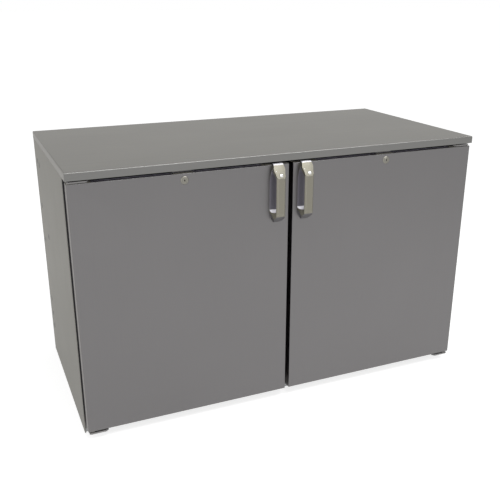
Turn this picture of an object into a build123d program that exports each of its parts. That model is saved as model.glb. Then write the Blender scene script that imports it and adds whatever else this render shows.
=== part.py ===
from build123d import *
from math import cos, radians
import os

# Back bar cooler with two solid doors, for a remote compressor.
# Millimetres. +Z is up, -Y is the front. The origin lies on the floor, in the middle of the
# space that the cooler takes up with its handles, so the handles' fronts are at -DEPTH / 2.

# Overall sizes
WIDTH = 1219.0
HEIGHT = 762.0
TOP_DEPTH = 610.0
HANDLE_REACH = 30.0
DOOR_SETBACK = 4.0
FACE_SETBACK = 50.0
DEPTH = TOP_DEPTH + HANDLE_REACH - DOOR_SETBACK

# Planes across the depth
BACK = DEPTH / 2
TOP_FRONT = BACK - TOP_DEPTH
DOOR_FRONT = TOP_FRONT + DOOR_SETBACK
FACE = TOP_FRONT + FACE_SETBACK
HALF = WIDTH / 2

# Casing
SHEET = 1.2
TOP_EDGE = 21.0
TOP_UNDER = HEIGHT - TOP_EDGE
TOP_HEM = 12.0
NOSE_RADIUS = 2.4
SEAM = 0.4
PANEL_TOP = TOP_UNDER - SEAM
BASE_LIP = 14.0
BASE_SETBACK = 6.0
REAR_FLANGE = 20.0
LINE_HOLE_RADIUS = 8.0
SOCKET_RADIUS = 14.0
STUD_RADIUS = 5.4
SOCKET_HIGH = 24.0
STUD_DEEP = 20.0
LEG_COLUMNS = (-545.0, 545.0)
LEG_ROWS = (-175.0, 255.0)
BEAD_HEIGHTS = (180.0, 370.0, 560.0)
BEAD_WIDE = 18.0
BEAD_DEEP = 2.5
BEAD_TAPER = 20.0

# Opening and liner
LAND_HALF = 606.0
OPENING_HALF = 567.0
STRIP = 2.0
THROAT = 30.0
THROAT_BACK = FACE + THROAT
SILL_TOP = 64.0
HEADER_BOTTOM = 700.0
CAVITY_BACK = 273.0
LINER = 1.0
COVE = 10.0
MULLION_HALF = 28.0
MULLION_DEPTH = 37.0
MULLION_BEVEL = 4.0
LINER_BEADS = (-440.0, -340.0, 340.0, 440.0)
DRAIN_Y = 252.0
DRAIN_RADIUS = 8.0

# Doors
DOOR_BOTTOM = 29.0
DOOR_TOP = 732.0
DOOR_OUTER = 606.0
DOOR_INNER = 6.5
PAN_DEPTH = 25.0
PAN_BACK = DOOR_FRONT + PAN_DEPTH
PAN_SHEET = 1.0
PAN_EDGE = 1.6
HEM = 3.0
CHANNEL = 12.0
CHANNEL_FLOOR = DOOR_TOP - CHANNEL
FRAME_THICK = 6.0
FRAME_BACK = PAN_BACK + FRAME_THICK
FRAME_INSET = 1.5
GASKET_WIDE = 18.0
GASKET_GAP = 0.3
GASKET_OUTER = 588.5
GASKET_INNER = 9.5
GASKET_TOP = 722.0
GASKET_BOTTOM = 45.0
PANEL_INSET = GASKET_WIDE + 6
PANEL_RISE = 14.0

# Hinges
PIVOT_X = 593.5
PIVOT_Y = DOOR_FRONT + 13.0
PIN_RADIUS = 4.0
BUSH_BORE = 4.05
BUSH_RADIUS = 6.5
BUSH_FLANGE = 8.5
PLATE = 4.0
UPPER_ARM = DOOR_TOP + 1.2
LOWER_ARM = 20.0
ARM_FRONT = TOP_FRONT + 5.0
ARM_OUTER = LAND_HALF - 3.0
ARM_INNER = LAND_HALF - 57.0
LEG_INNER = GASKET_OUTER + 1.5
UPPER_LEG = 697.0
LOWER_LEG = 66.0
ARM_CORNER = 3.0
ARM_SLOPE = 7.0
HINGE_PLATE = 61.0
HANDLE_PLATE = 73.0

# Locks
LOCK_X = 306.2
LOCK_Z = 714.0
BEZEL_RADIUS = 11.0
BEZEL_PROUD = 2.0
LOCK_RADIUS = 9.5
LOCK_PLATE = 1.5
NUT_RADIUS = 13.0
NUT_THICK = 3.0
PLUG_RADIUS = 6.0
PLUG_CLEARANCE = 0.06
TAIL_HALF = 2.5
CAM_LENGTH = 24.8
CAM_HALF = 4.2
CAM_THICK = 2.5
CAM_FRONT = DOOR_FRONT + 18.5
STRIKE_SHIFT = -2.7
STRIKE_WIDE = 53.0
STRIKE_SHEET = 1.5
STRIKE_LIP = TOP_FRONT + 18.0
STRIKE_FOOT = 724.0
STRIKE_HOOK = 5.5

# Handles
HANDLE_X = 42.7
HANDLE_FRONT = -DEPTH / 2
GRIP_HALF = 13.3
GRIP_FACE_HALF = 9.3
GRIP_BACK = HANDLE_FRONT + 5.0
HANDLE_HALF = 23.0
HANDLE_FOOT = 569.4
GRIP_BOTTOM = 591.0
GRIP_TOP = 699.0
BELLY_BOTTOM = 600.0
BELLY_TOP = 691.0
STRAP_HALF = 14.0
STRAP_Y = TOP_FRONT - 5.0
HOOK_TOP = 735.0
HOOK_BACK = TOP_FRONT + 14.0
HANDLE_SCREW_Z = 706.5

# Refrigeration
EVAP_HALF = 250.0
EVAP_FRONT = 165.0
EVAP_BOTTOM = 576.0
FAN_X = 125.0
FAN_Z = 638.0
FAN_RADIUS = 48.0
FAN_FRONT = EVAP_FRONT + 5.0
FAN_DEEP = 14.0
SHAFT_RADIUS = 2.5
MOTOR_FRONT = 186.0
COIL_FRONT = 220.0
FIN_SPACES = 13
FIN_SHEET = 1.5
KNOB_SHAFT = 3.2

# Shelves
SHELF_OUTER = 551.0
SHELF_INNER = 14.0
SHELF_FRONT = -188.0
SHELF_BACK = 240.0
SHELF_HEIGHTS = {"lower": 240.0, "upper": 430.0}
RIM_RADIUS = 3.0
RIM_FLAT = RIM_RADIUS * cos(radians(22.5))
WIRE_RADIUS = 2.2
WIRE_FLAT = WIRE_RADIUS * cos(radians(45))
WIRE_COUNT = 9
CROSS_BAR = 15.0
PILASTER_DEPTH = 10.0
PILASTER_WIDE = 18.0
PILASTER_SHEET = 1.5
PILASTER_BOTTOM = SILL_TOP + 22
PILASTER_TOP = EVAP_BOTTOM - 30
CENTER_PILASTER = 24.0
SIDE_PILASTERS = (-140.0, 190.0)
SLOT_PITCH = 95.0
SLOT_START = 142.0
SLOT_COUNT = 3


def block(x0, x1, y0, y1, z0, z1):
    """A box given by its low and high sides."""
    size = Box(x1 - x0, y1 - y0, z1 - z0)
    return Pos((x0 + x1) / 2, (y0 + y1) / 2, (z0 + z1) / 2) * size


def rod(radius, start, end):
    """A round bar from one point to another."""
    along = Vector(*end) - Vector(*start)
    plane = Plane(origin=start, z_dir=along)
    return plane * Cylinder(radius, along.length, align=(Align.CENTER, Align.CENTER, Align.MIN))


def profile_plane(along, low, high):
    """The plane to draw a section on, so that it can be drawn out from low to high."""
    if along == "X":
        return Plane.YZ.offset(low)
    if along == "Y":
        return Plane.XZ.offset(-high)
    return Plane.XY.offset(low)


def drawn(points, along, low, high):
    """A solid bar: an outline of corners, drawn out along an axis from low to high."""
    face = profile_plane(along, low, high) * make_face(Polyline(*points, close=True))
    return extrude(face, high - low)


def folded(points, thickness, along, low, high, side=Side.RIGHT):
    """Sheet folded along a line of points; the sheet's thickness lies to one side of the line."""
    section = make_face(offset(Polyline(*points), amount=thickness, side=side, kind=Kind.INTERSECTION))
    return extrude(profile_plane(along, low, high) * section, high - low)


def on_side(shape, side):
    """What is modelled on the left, at negative X, or its mirror image on the right."""
    if side == "left":
        return shape
    return mirror(shape, about=Plane.YZ)


def both_sides(shape):
    return shape + mirror(shape, about=Plane.YZ)


# Casing


def worktop():
    """A sheet folded down on all four edges, hemmed inwards under its nose."""
    top = block(-HALF, HALF, TOP_FRONT, BACK, TOP_UNDER, HEIGHT)
    top = fillet(top.faces().sort_by(Axis.Z)[-1].edges(), NOSE_RADIUS)
    inner = HALF - SHEET
    front = TOP_FRONT + SHEET
    top -= block(-inner, inner, front, BACK - SHEET, TOP_UNDER - 1, HEIGHT - SHEET)
    hem = block(-inner, inner, front, FACE, TOP_UNDER, TOP_UNDER + SHEET)
    hem -= block(-HALF + TOP_HEM, HALF - TOP_HEM, TOP_FRONT + TOP_HEM, BACK, TOP_UNDER - 1, TOP_UNDER + 2)
    return top + hem


def line_hole_places():
    """The capped holes at the rear of the left side, for pipes, drain and wires: (y, z)."""
    rear = [(266.0, z) for z in (677.0, 533.0, 419.0, 209.0, 155.0, 110.0)]
    return rear + [(226.0, 672.0), (165.0, 457.0)]


def side_panel():
    """The left casing sheet: hemmed back at the front, flanged in at the rear."""
    plan = [
        (-LAND_HALF, FACE + BASE_SETBACK - 0.5),
        (-LAND_HALF, FACE),
        (-HALF, FACE),
        (-HALF, BACK - SHEET),
        (-HALF + REAR_FLANGE, BACK - SHEET),
    ]
    return folded(plan, SHEET, "Z", 0, PANEL_TOP)


def left_side_panel():
    panel = side_panel()
    for y, z in line_hole_places():
        panel -= line_hole(y, z, -HALF - 1, -HALF + SHEET + 1)
    return panel


def line_hole(y, z, x0, x1):
    """A line hole or its cap, from x0 to x1, cut with ten flats."""
    flats = Plane(origin=(x0, y, z), z_dir=(1, 0, 0)) * RegularPolygon(LINE_HOLE_RADIUS, 10)
    return extrude(flats, x1 - x0)


def line_hole_plugs():
    """Caps pressed into the line holes, a little proud of the sheet."""
    caps = [line_hole(y, z, -HALF - 0.6, -HALF + SHEET) for y, z in line_hole_places()]
    return Compound(children=caps)


def back_panel():
    """Flat sheet outside the side panels' flanges, stiffened by three pressed beads."""
    panel = block(-HALF + 1, HALF - 1, BACK - SHEET, BACK, 1, PANEL_TOP)
    length = WIDTH - 180
    for z in BEAD_HEIGHTS:
        inside = Plane(origin=(0, BACK - SHEET, z), x_dir=(1, 0, 0), z_dir=(0, -1, 0))
        panel += extrude(inside * Rectangle(length, BEAD_WIDE), BEAD_DEEP, taper=BEAD_TAPER)
        outside = Plane(origin=(0, BACK, z), x_dir=(1, 0, 0), z_dir=(0, -1, 0))
        panel -= extrude(outside * Rectangle(length - 2, BEAD_WIDE - 2), BEAD_DEEP, taper=BEAD_TAPER)
    return panel


def base_pan():
    """The bottom sheet, turned up all round; its front stands back under the sill."""
    x = HALF - SHEET
    front = FACE + BASE_SETBACK
    back = BACK - 2 * SHEET
    pan = block(-x, x, front, back, 0, BASE_LIP)
    pan -= block(-x + SHEET, x - SHEET, front + SHEET, back - SHEET, SHEET, BASE_LIP + 1)
    for x, y in leg_places():
        pan -= Pos(x, y, -1) * extrude(RegularPolygon(SOCKET_RADIUS, 6), 3)
    return pan - drain(DRAIN_RADIUS + 0.5, -1, 3)


def drain(radius, z0, z1):
    """An upright twelve-sided stretch on the drain's line: its pipe, or a hole for it."""
    return extrude(Plane.XY.offset(z0) * Pos(0, DRAIN_Y) * RegularPolygon(radius, 12), z1 - z0)


def leg_places():
    """Where the sockets for screw-in legs or casters are: (x, y)."""
    return [(x, y) for x in LEG_COLUMNS for y in LEG_ROWS]


def leg_sockets():
    """Six-sided steel nuts set in the base, blind at the top, for a half-inch leg stud."""
    nut = extrude(RegularPolygon(SOCKET_RADIUS, 6), SOCKET_HIGH)
    nut -= rod(STUD_RADIUS, (0, 0, -1), (0, 0, STUD_DEEP))
    return Compound(children=[Pos(x, y, 0) * nut for x, y in leg_places()])


# Front frame that the gaskets close on


def sill_rail():
    """Stainless sheet under the doorways, folded back over the sill and under its foot."""
    section = [(FACE + BASE_SETBACK, BASE_LIP), (FACE, BASE_LIP), (FACE, SILL_TOP), (THROAT_BACK, SILL_TOP)]
    return folded(section, SHEET, "X", -LAND_HALF, LAND_HALF)


def header_rail():
    """Strip above the doorways, folded back under the front edge of the ceiling."""
    section = [(THROAT_BACK, HEADER_BOTTOM), (FACE, HEADER_BOTTOM), (FACE, HEIGHT - SHEET)]
    return folded(section, STRIP, "X", -LAND_HALF, LAND_HALF)


def jamb_strips():
    """Plastic strips down both sides of the opening, the thermal break of the casing."""
    plan = [
        (-LAND_HALF, FACE),
        (-OPENING_HALF, FACE),
        (-OPENING_HALF, THROAT_BACK),
        (-OPENING_HALF - 8, THROAT_BACK),
    ]
    return both_sides(folded(plan, STRIP, "Z", SILL_TOP, HEADER_BOTTOM, Side.LEFT))


def center_mullion():
    """Foamed post between the doorways, with bevelled rear edges."""
    post = block(-MULLION_HALF, MULLION_HALF, FACE, FACE + MULLION_DEPTH, SILL_TOP, HEADER_BOTTOM)
    upright = post.edges().filter_by(Axis.Z).sort_by(Axis.Y)
    return chamfer(upright[-2:], MULLION_BEVEL)


# Liner and foam


def liner_side_walls():
    plan = [
        (-OPENING_HALF, THROAT_BACK),
        (-OPENING_HALF, CAVITY_BACK + LINER),
        (-OPENING_HALF - 12, CAVITY_BACK + LINER),
    ]
    return both_sides(folded(plan, LINER, "Z", SILL_TOP, HEADER_BOTTOM + LINER, Side.LEFT))


def liner_back_wall():
    """Rear sheet, pressed with two upright beads in each bay."""
    wall = block(-OPENING_HALF, OPENING_HALF, CAVITY_BACK, CAVITY_BACK + LINER, SILL_TOP, HEADER_BOTTOM)
    for x in LINER_BEADS:
        place = Plane(origin=(x, CAVITY_BACK, 330), x_dir=(0, 0, 1), z_dir=(0, -1, 0))
        wall += extrude(place * Rectangle(440, 12), 2.0, taper=25)
    return wall


def liner_floor():
    """Floor sheet turned up at both ends over a slanted cove, and a hole for the drain."""
    low = SILL_TOP - LINER
    inner = OPENING_HALF - COVE
    section = [
        (-OPENING_HALF, low + 2 * COVE), (-OPENING_HALF, low + COVE), (-inner, low),
        (inner, low), (OPENING_HALF, low + COVE), (OPENING_HALF, low + 2 * COVE),
    ]
    floor = folded(section, LINER, "Y", THROAT_BACK, CAVITY_BACK, Side.LEFT)
    return floor - drain(DRAIN_RADIUS + 0.5, SILL_TOP - 3, SILL_TOP + 3)


def liner_ceiling():
    back = CAVITY_BACK + LINER
    section = [(THROAT_BACK, HEADER_BOTTOM), (back, HEADER_BOTTOM), (back, HEADER_BOTTOM + 12)]
    return folded(section, LINER, "X", -OPENING_HALF, OPENING_HALF, Side.LEFT)


def cabinet_insulation(neighbours):
    """Foam that fills the space between the casing and the liner."""
    x = HALF - SHEET
    foam = block(-x, x, FACE + SHEET, BACK - SHEET, SHEET, HEIGHT - SHEET)
    foam -= block(-OPENING_HALF, OPENING_HALF, FACE, CAVITY_BACK, SILL_TOP, HEADER_BOTTOM)
    foam -= block(-x, x, FACE, FACE + BASE_SETBACK, 0, BASE_LIP)
    foam -= drain(DRAIN_RADIUS + 0.5, 0, SILL_TOP)
    for neighbour in neighbours:
        foam -= neighbour
    return foam.solids().sort_by(SortBy.VOLUME)[-1]


# Hinges and strikes on the casing


def hinge_bracket(leg_end, arm_top, way):
    """Bent plate: a leg screwed beside the gasket, and an arm at its end that carries the pin."""
    section = [(FACE, leg_end), (FACE, arm_top), (ARM_FRONT, arm_top)]
    side = Side.LEFT if way > 0 else Side.RIGHT
    plate = folded(section, PLATE, "X", -ARM_OUTER, -ARM_INNER, side)
    gasket_edge = arm_top - 13 * way
    low, high = sorted((gasket_edge, leg_end - way))
    plate -= block(-LEG_INNER, -ARM_INNER + 1, FACE - PLATE - 1, FACE + 1, low, high)
    corners = plate.edges().filter_by(Axis.Z).group_by(Axis.Y)[0].sort_by(Axis.X)
    plate = chamfer(corners[0], ARM_CORNER)
    corners = plate.edges().filter_by(Axis.Z).group_by(Axis.Y)[0].sort_by(Axis.X)
    return chamfer(corners[-1], ARM_SLOPE)


def hinge_brackets():
    """Both upper brackets with their pins down, both lower ones with their pins up."""
    upper_pin = rod(PIN_RADIUS, (-PIVOT_X, PIVOT_Y, CHANNEL_FLOOR + 1.5), (-PIVOT_X, PIVOT_Y, UPPER_ARM + 1))
    lower_root = LOWER_ARM + PLATE - 1
    lower_pin = rod(PIN_RADIUS, (-PIVOT_X, PIVOT_Y, lower_root), (-PIVOT_X, PIVOT_Y, lower_root + 17))
    upper = hinge_bracket(UPPER_LEG, UPPER_ARM + PLATE, 1) + upper_pin
    lower = hinge_bracket(LOWER_LEG, LOWER_ARM, -1) + lower_pin
    return both_sides(upper + lower)


def lock_strikes():
    """Strips bent to a hook under the worktop's nose, which the locks' cams turn up behind."""
    top = TOP_UNDER
    section = [(FACE, STRIKE_FOOT), (FACE, top), (STRIKE_LIP, top), (STRIKE_LIP, top - STRIKE_HOOK)]
    strikes = []
    for x in (-LOCK_X + STRIKE_SHIFT, LOCK_X + STRIKE_SHIFT):
        low = x - STRIKE_WIDE / 2
        strikes.append(folded(section, STRIKE_SHEET, "X", low, low + STRIKE_WIDE, Side.LEFT))
    return Compound(children=strikes)


def screw(place, way):
    """One hex-head sheet-metal screw: its head stands on place and faces way."""
    return extrude(Plane(origin=place, z_dir=way) * RegularPolygon(4.6, 6), 2.6)


def casing_screws():
    """The screws that hold the back panel, the hinge brackets and the strikes."""
    rear = [(x, z) for x in (-560.0, -280.0, 0.0, 280.0, 560.0) for z in (18.0, 722.0)]
    rear += [(x, z) for x in (-600.0, 600.0) for z in (190.0, 370.0, 550.0)]
    screws = [screw((x, BACK, z), (0, 1, 0)) for x, z in rear]
    for x in (-LAND_HALF + 9, LAND_HALF - 9):
        for z in (57.0, 706.0):
            screws.append(screw((x, FACE - PLATE, z), (0, -1, 0)))
    for x in (-LOCK_X + STRIKE_SHIFT, LOCK_X + STRIKE_SHIFT):
        for shift in (-16.0, 16.0):
            screws.append(screw((x + shift, FACE - STRIKE_SHEET, 730.0), (0, -1, 0)))
    return Compound(children=screws)


# Doors, modelled on the left


def door_pan(side):
    """Outer sheet: a tray with a fine front edge, and a channel folded into its top."""
    pan = block(-DOOR_OUTER, -DOOR_INNER, DOOR_FRONT, PAN_BACK, DOOR_BOTTOM, DOOR_TOP)
    pan = fillet(pan.faces().sort_by(Axis.Y)[0].edges(), PAN_EDGE)
    x0 = -DOOR_OUTER + PAN_SHEET
    x1 = -DOOR_INNER - PAN_SHEET
    pan -= block(x0, x1, DOOR_FRONT + PAN_SHEET, PAN_BACK + 1, DOOR_BOTTOM + PAN_SHEET, DOOR_TOP + 1)
    section = [
        (DOOR_FRONT + 0.5, DOOR_TOP), (DOOR_FRONT + HEM, DOOR_TOP), (DOOR_FRONT + HEM, CHANNEL_FLOOR),
        (PAN_BACK - PAN_SHEET, CHANNEL_FLOOR), (PAN_BACK - PAN_SHEET, DOOR_TOP),
    ]
    pan += folded(section, PAN_SHEET, "X", x0, x1, Side.LEFT)
    pan += block(x0, x1, PAN_BACK - PAN_SHEET, PAN_BACK, CHANNEL_FLOOR - HEM, CHANNEL_FLOOR)
    pan -= lock_pocket()
    pan -= lock_hole(DOOR_FRONT - 1, DOOR_FRONT + 5)
    return on_side(pan - bush_body(DOOR_BOTTOM - 1, DOOR_BOTTOM + 2), side)


def lock_hole(y0, y1):
    """The six-sided hole that keeps the lock's body from turning."""
    start = Plane(origin=(-LOCK_X, y0, LOCK_Z), z_dir=(0, 1, 0))
    return extrude(start * RegularPolygon(LOCK_RADIUS, 6), y1 - y0)


def lock_pocket():
    """Room behind the door's front for the lock, and for its cam when it lies level."""
    return block(
        -LOCK_X - 30, -LOCK_X + 30, DOOR_FRONT + HEM, PAN_BACK - PAN_SHEET,
        LOCK_Z - 14, CHANNEL_FLOOR + 0.5,
    )


def door_plates(side):
    """Stiffening plates in the pan: both hinge ends, the handle end and behind the lock."""
    y0 = DOOR_FRONT + HEM
    y1 = PAN_BACK - PAN_SHEET
    outer = -DOOR_OUTER + PAN_SHEET
    inner = -DOOR_INNER - PAN_SHEET
    low = DOOR_BOTTOM + PAN_SHEET
    upper = [(outer, DOOR_TOP), (outer + HINGE_PLATE, DOOR_TOP), (outer + HINGE_PLATE, CHANNEL_FLOOR)]
    top_hinge = folded(upper, PLATE, "Y", y0, y1) - bush_body(DOOR_TOP - 6, DOOR_TOP + 1)
    bottom_hinge = block(outer, outer + HINGE_PLATE, DOOR_FRONT + PAN_SHEET, y1, low, low + PLATE)
    bottom_hinge -= bush_body(low - 1, low + 6)
    end = [(inner - HANDLE_PLATE, CHANNEL_FLOOR), (inner - HANDLE_PLATE, DOOR_TOP), (inner, DOOR_TOP)]
    handle_end = folded(end, 2.0, "Y", y0, y1)
    behind = [(y0, LOCK_Z - 13), (y0, DOOR_TOP), (CAM_FRONT - 2, DOOR_TOP)]
    x0 = -LOCK_X - STRIKE_WIDE / 2
    lock_plate = folded(behind, LOCK_PLATE, "X", x0, x0 + STRIKE_WIDE)
    lock_plate -= lock_hole(y0 - 1, y0 + 3)
    plates = [top_hinge, bottom_hinge, handle_end, lock_plate]
    return Compound(children=[on_side(plate, side) for plate in plates])


def bush_body(z0, z1, radius=BUSH_RADIUS):
    """A six-sided stretch of bush round the hinge's axis, which can't turn in its plate."""
    return extrude(Plane.XY.offset(z0) * Pos(-PIVOT_X, PIVOT_Y) * RegularPolygon(radius, 6), z1 - z0)


def door_bushes(side):
    """Flanged plastic bushes that turn on the hinge pins; the lower one carries the door."""
    upper = bush_body(DOOR_TOP - 11.5, DOOR_TOP) + bush_body(DOOR_TOP, UPPER_ARM - 0.3, BUSH_FLANGE)
    seat = LOWER_ARM + PLATE + 0.3
    lower = bush_body(DOOR_BOTTOM, DOOR_BOTTOM + 15) + bush_body(seat, DOOR_BOTTOM, BUSH_FLANGE)
    upper -= rod(BUSH_BORE, (-PIVOT_X, PIVOT_Y, CHANNEL_FLOOR - 1), (-PIVOT_X, PIVOT_Y, DOOR_TOP + 3))
    lower -= rod(BUSH_BORE, (-PIVOT_X, PIVOT_Y, seat - 1), (-PIVOT_X, PIVOT_Y, DOOR_BOTTOM + 12.5))
    return Compound(children=[on_side(upper, side), on_side(lower, side)])


def gasket_outline(inset):
    """The gasket's outer edge, made smaller all round, as a sketch seen from behind the door."""
    wide = GASKET_OUTER - GASKET_INNER - 2 * inset
    high = GASKET_TOP - GASKET_BOTTOM - 2 * inset
    x = -(GASKET_OUTER + GASKET_INNER) / 2
    return Pos(x, (GASKET_TOP + GASKET_BOTTOM) / 2) * Rectangle(wide, high)


def raised(sketch, y0, y1, taper=0.0):
    """A sketch of X and Z, drawn out towards the cabinet from y0 to y1."""
    return extrude(Plane.XZ.offset(-y0) * sketch, y0 - y1, taper=taper)


def door_frame(side):
    """Plastic frame round the door's back, with the groove that the gasket's foot snaps into."""
    wide = DOOR_OUTER - DOOR_INNER - 2 * FRAME_INSET
    high = DOOR_TOP - DOOR_BOTTOM - 2 * FRAME_INSET
    centre = Pos(-(DOOR_OUTER + DOOR_INNER) / 2, (DOOR_TOP + DOOR_BOTTOM) / 2)
    ring = centre * Rectangle(wide, high) - gasket_outline(PANEL_INSET)
    groove = gasket_outline(GASKET_WIDE / 2 - 2.4) - gasket_outline(GASKET_WIDE / 2 + 2.4)
    frame = raised(ring, PAN_BACK, FRAME_BACK) - raised(groove, FRAME_BACK - 4, FRAME_BACK + 1)
    return on_side(frame, side)


def door_gasket(side):
    """Magnetic gasket, mitred at its corners: barbed foot, folded bellows, flat sealing face."""
    half = GASKET_WIDE / 2
    face = FACE - GASKET_GAP - FRAME_BACK
    one_side = [
        (0, -3.6), (1.2, -3.4), (2.2, -2.2), (1.2, -1.2), (1.2, 0), (half, 0), (half, 1.8),
        (half - 3.5, 3.6), (half - 1, 5.6), (half - 3.5, 7.6), (half, 9.4), (half, face),
    ]
    other = [(-u, v) for u, v in reversed(one_side[1:])]
    section = make_face(Polyline(*(one_side + other), close=True))
    low = GASKET_BOTTOM + half
    high = GASKET_TOP - half
    left = -GASKET_OUTER + half
    right = -GASKET_INNER - half
    middle = (left + right) / 2
    corners = [(middle, low), (right, low), (right, high), (left, high), (left, low), (middle, low)]
    path = Polyline(*[(x, FRAME_BACK, z) for x, z in corners])
    start = Plane(origin=(middle, FRAME_BACK, low), x_dir=(0, 0, -1), z_dir=(1, 0, 0))
    return on_side(sweep(start * section, path, transition=Transition.RIGHT), side)


def corners_cut(sketch, size):
    """A sketch with all its corners cut off."""
    return chamfer(sketch.vertices(), size)


def door_inner_panel(side):
    """Sheet pressed into a shallow raised dish inside the gasket, its lip flat on the frame."""
    outside = corners_cut(gasket_outline(PANEL_INSET), 16.0)
    inside = corners_cut(gasket_outline(PANEL_INSET + PAN_SHEET), 15.4)
    top = PAN_BACK + PANEL_RISE
    dish = raised(outside, PAN_BACK, top, taper=12) - raised(inside, PAN_BACK, top - PAN_SHEET, taper=12)
    lip = gasket_outline(GASKET_WIDE + 1) - corners_cut(gasket_outline(PANEL_INSET + 3), 14.0)
    return on_side(dish + raised(lip, FRAME_BACK, FRAME_BACK + PAN_SHEET), side)


def door_insulation(side, neighbours):
    """Foam between the outer pan and the inner panel."""
    foam = block(
        -DOOR_OUTER + PAN_SHEET, -DOOR_INNER - PAN_SHEET, DOOR_FRONT + PAN_SHEET, PAN_BACK,
        DOOR_BOTTOM + PAN_SHEET, CHANNEL_FLOOR - PAN_SHEET,
    )
    foam -= lock_pocket()
    corner = -DOOR_OUTER + PAN_SHEET
    foam -= block(corner, corner + 62, DOOR_FRONT, PAN_BACK, DOOR_BOTTOM, DOOR_BOTTOM + 17)
    foam = on_side(foam, side)
    for neighbour in neighbours:
        foam -= neighbour
    return foam.solids().sort_by(SortBy.VOLUME)[-1]


# Locks


def lock_cylinder(side):
    """Fixed body: a bevelled round face, and a six-sided body held by a nut behind the sheet."""
    before = Plane(origin=(-LOCK_X, DOOR_FRONT, LOCK_Z), z_dir=(0, -1, 0))
    body = extrude(before * RegularPolygon(BEZEL_RADIUS, 16), BEZEL_PROUD)
    body = chamfer(body.faces().sort_by(Axis.Y)[0].edges(), 1.6)
    behind = Plane(origin=(-LOCK_X, DOOR_FRONT, LOCK_Z), z_dir=(0, 1, 0))
    body += extrude(behind * RegularPolygon(LOCK_RADIUS, 6), CAM_FRONT - 1 - DOOR_FRONT)
    body += extrude(behind.offset(HEM + LOCK_PLATE) * RegularPolygon(NUT_RADIUS, 6), NUT_THICK)
    bore = PLUG_RADIUS + PLUG_CLEARANCE
    return on_side(body - rod(bore, (-LOCK_X, DOOR_FRONT - 3, LOCK_Z), (-LOCK_X, CAM_FRONT, LOCK_Z)), side)


def lock_plug(side):
    """The part that the key turns: key slot in front, square tail for the cam behind."""
    end = CAM_FRONT - 0.6
    plug = rod(PLUG_RADIUS, (-LOCK_X, DOOR_FRONT - 2.2, LOCK_Z), (-LOCK_X, end, LOCK_Z))
    back = CAM_FRONT + CAM_THICK
    plug += block(
        -LOCK_X - TAIL_HALF, -LOCK_X + TAIL_HALF, end - 1, back, LOCK_Z - TAIL_HALF, LOCK_Z + TAIL_HALF,
    )
    plug -= block(-LOCK_X - 1, -LOCK_X + 1, DOOR_FRONT - 3, DOOR_FRONT + 8, LOCK_Z - 4.2, LOCK_Z + 3.4)
    return on_side(plug, side)


def lock_cam(side):
    """Flat finger on the plug's tail: level when open, upright behind the strike when locked."""
    hub = CAM_HALF + 1.8
    points = [
        (-hub, -3), (-3, -hub), (3, -hub), (hub, -CAM_HALF), (CAM_LENGTH - 2, -CAM_HALF),
        (CAM_LENGTH, -CAM_HALF + 2), (CAM_LENGTH, CAM_HALF - 2), (CAM_LENGTH - 2, CAM_HALF),
        (hub, CAM_HALF), (3, hub), (-3, hub), (-hub, 3),
    ]
    plate = make_face(Polyline(*points, close=True)) - Rectangle(2 * TAIL_HALF, 2 * TAIL_HALF)
    return on_side(raised(Pos(-LOCK_X, LOCK_Z) * plate, CAM_FRONT, CAM_FRONT + CAM_THICK), side)


# Handles


def handle_centre(side):
    return -HANDLE_X if side == "left" else HANDLE_X


def handle(side):
    """Cast pull: a pointed back plate, a flat grip, a strap that hooks over the door's top."""
    centre = handle_centre(side)
    from_side = [
        (DOOR_FRONT, HANDLE_FOOT),
        (DOOR_FRONT - 1.5, HANDLE_FOOT),
        (HANDLE_FRONT + 1.5, GRIP_BOTTOM),
        (HANDLE_FRONT, GRIP_BOTTOM + 7),
        (HANDLE_FRONT, GRIP_TOP),
        (STRAP_Y, HOOK_TOP - 2.5),
        (STRAP_Y + 2.5, HOOK_TOP),
        (DOOR_FRONT, HOOK_TOP),
    ]
    body = drawn(from_side, "X", centre - HANDLE_HALF - 1, centre + HANDLE_HALF + 1)
    right_edge = [
        (10, HANDLE_FOOT - 1), (HANDLE_HALF, BELLY_BOTTOM),
        (HANDLE_HALF, BELLY_TOP), (STRAP_HALF, HOOK_TOP + 1),
    ]
    left_edge = [(-x, z) for x, z in reversed(right_edge)]
    from_front = [(centre + x, z) for x, z in right_edge + left_edge]
    body &= drawn(from_front, "Y", HANDLE_FRONT - 1, DOOR_FRONT + 1)
    right_slope = [
        (HANDLE_HALF, DOOR_FRONT + 1), (HANDLE_HALF, DOOR_FRONT - 1.5), (GRIP_HALF, GRIP_BACK + 1),
        (GRIP_HALF, HANDLE_FRONT + 3), (GRIP_FACE_HALF, HANDLE_FRONT),
    ]
    left_slope = [(-x, y) for x, y in reversed(right_slope)]
    from_above = [(centre + x, y) for x, y in right_slope + left_slope]
    body &= drawn(from_above, "Z", HANDLE_FOOT - 1, HOOK_TOP + 1)
    gap = profile_plane("X", centre - HANDLE_HALF - 2, 0) * finger_gap()
    body -= extrude(gap, 2 * HANDLE_HALF + 4)
    hook = [
        (DOOR_FRONT - 1, DOOR_TOP), (HOOK_BACK, DOOR_TOP), (HOOK_BACK, HOOK_TOP - 1.2),
        (HOOK_BACK - 1.2, HOOK_TOP), (DOOR_FRONT - 1, HOOK_TOP),
    ]
    return body + drawn(hook, "X", centre - STRAP_HALF, centre + STRAP_HALF)


def finger_gap():
    """The room for fingers behind the grip, seen from the side, with a cove at its foot."""
    points = [
        (DOOR_FRONT - 2, BELLY_BOTTOM - 1),
        (GRIP_BACK, BELLY_BOTTOM + 3),
        (GRIP_BACK, GRIP_TOP - 3),
        (STRAP_Y + 4, HOOK_TOP - 9),
        (DOOR_FRONT - 2, GRIP_TOP + 7),
    ]
    gap = make_face(Polyline(*points, close=True))
    foot = gap.vertices().sort_by_distance((*points[0], 0))[0]
    return fillet(foot, 7.0)


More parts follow.
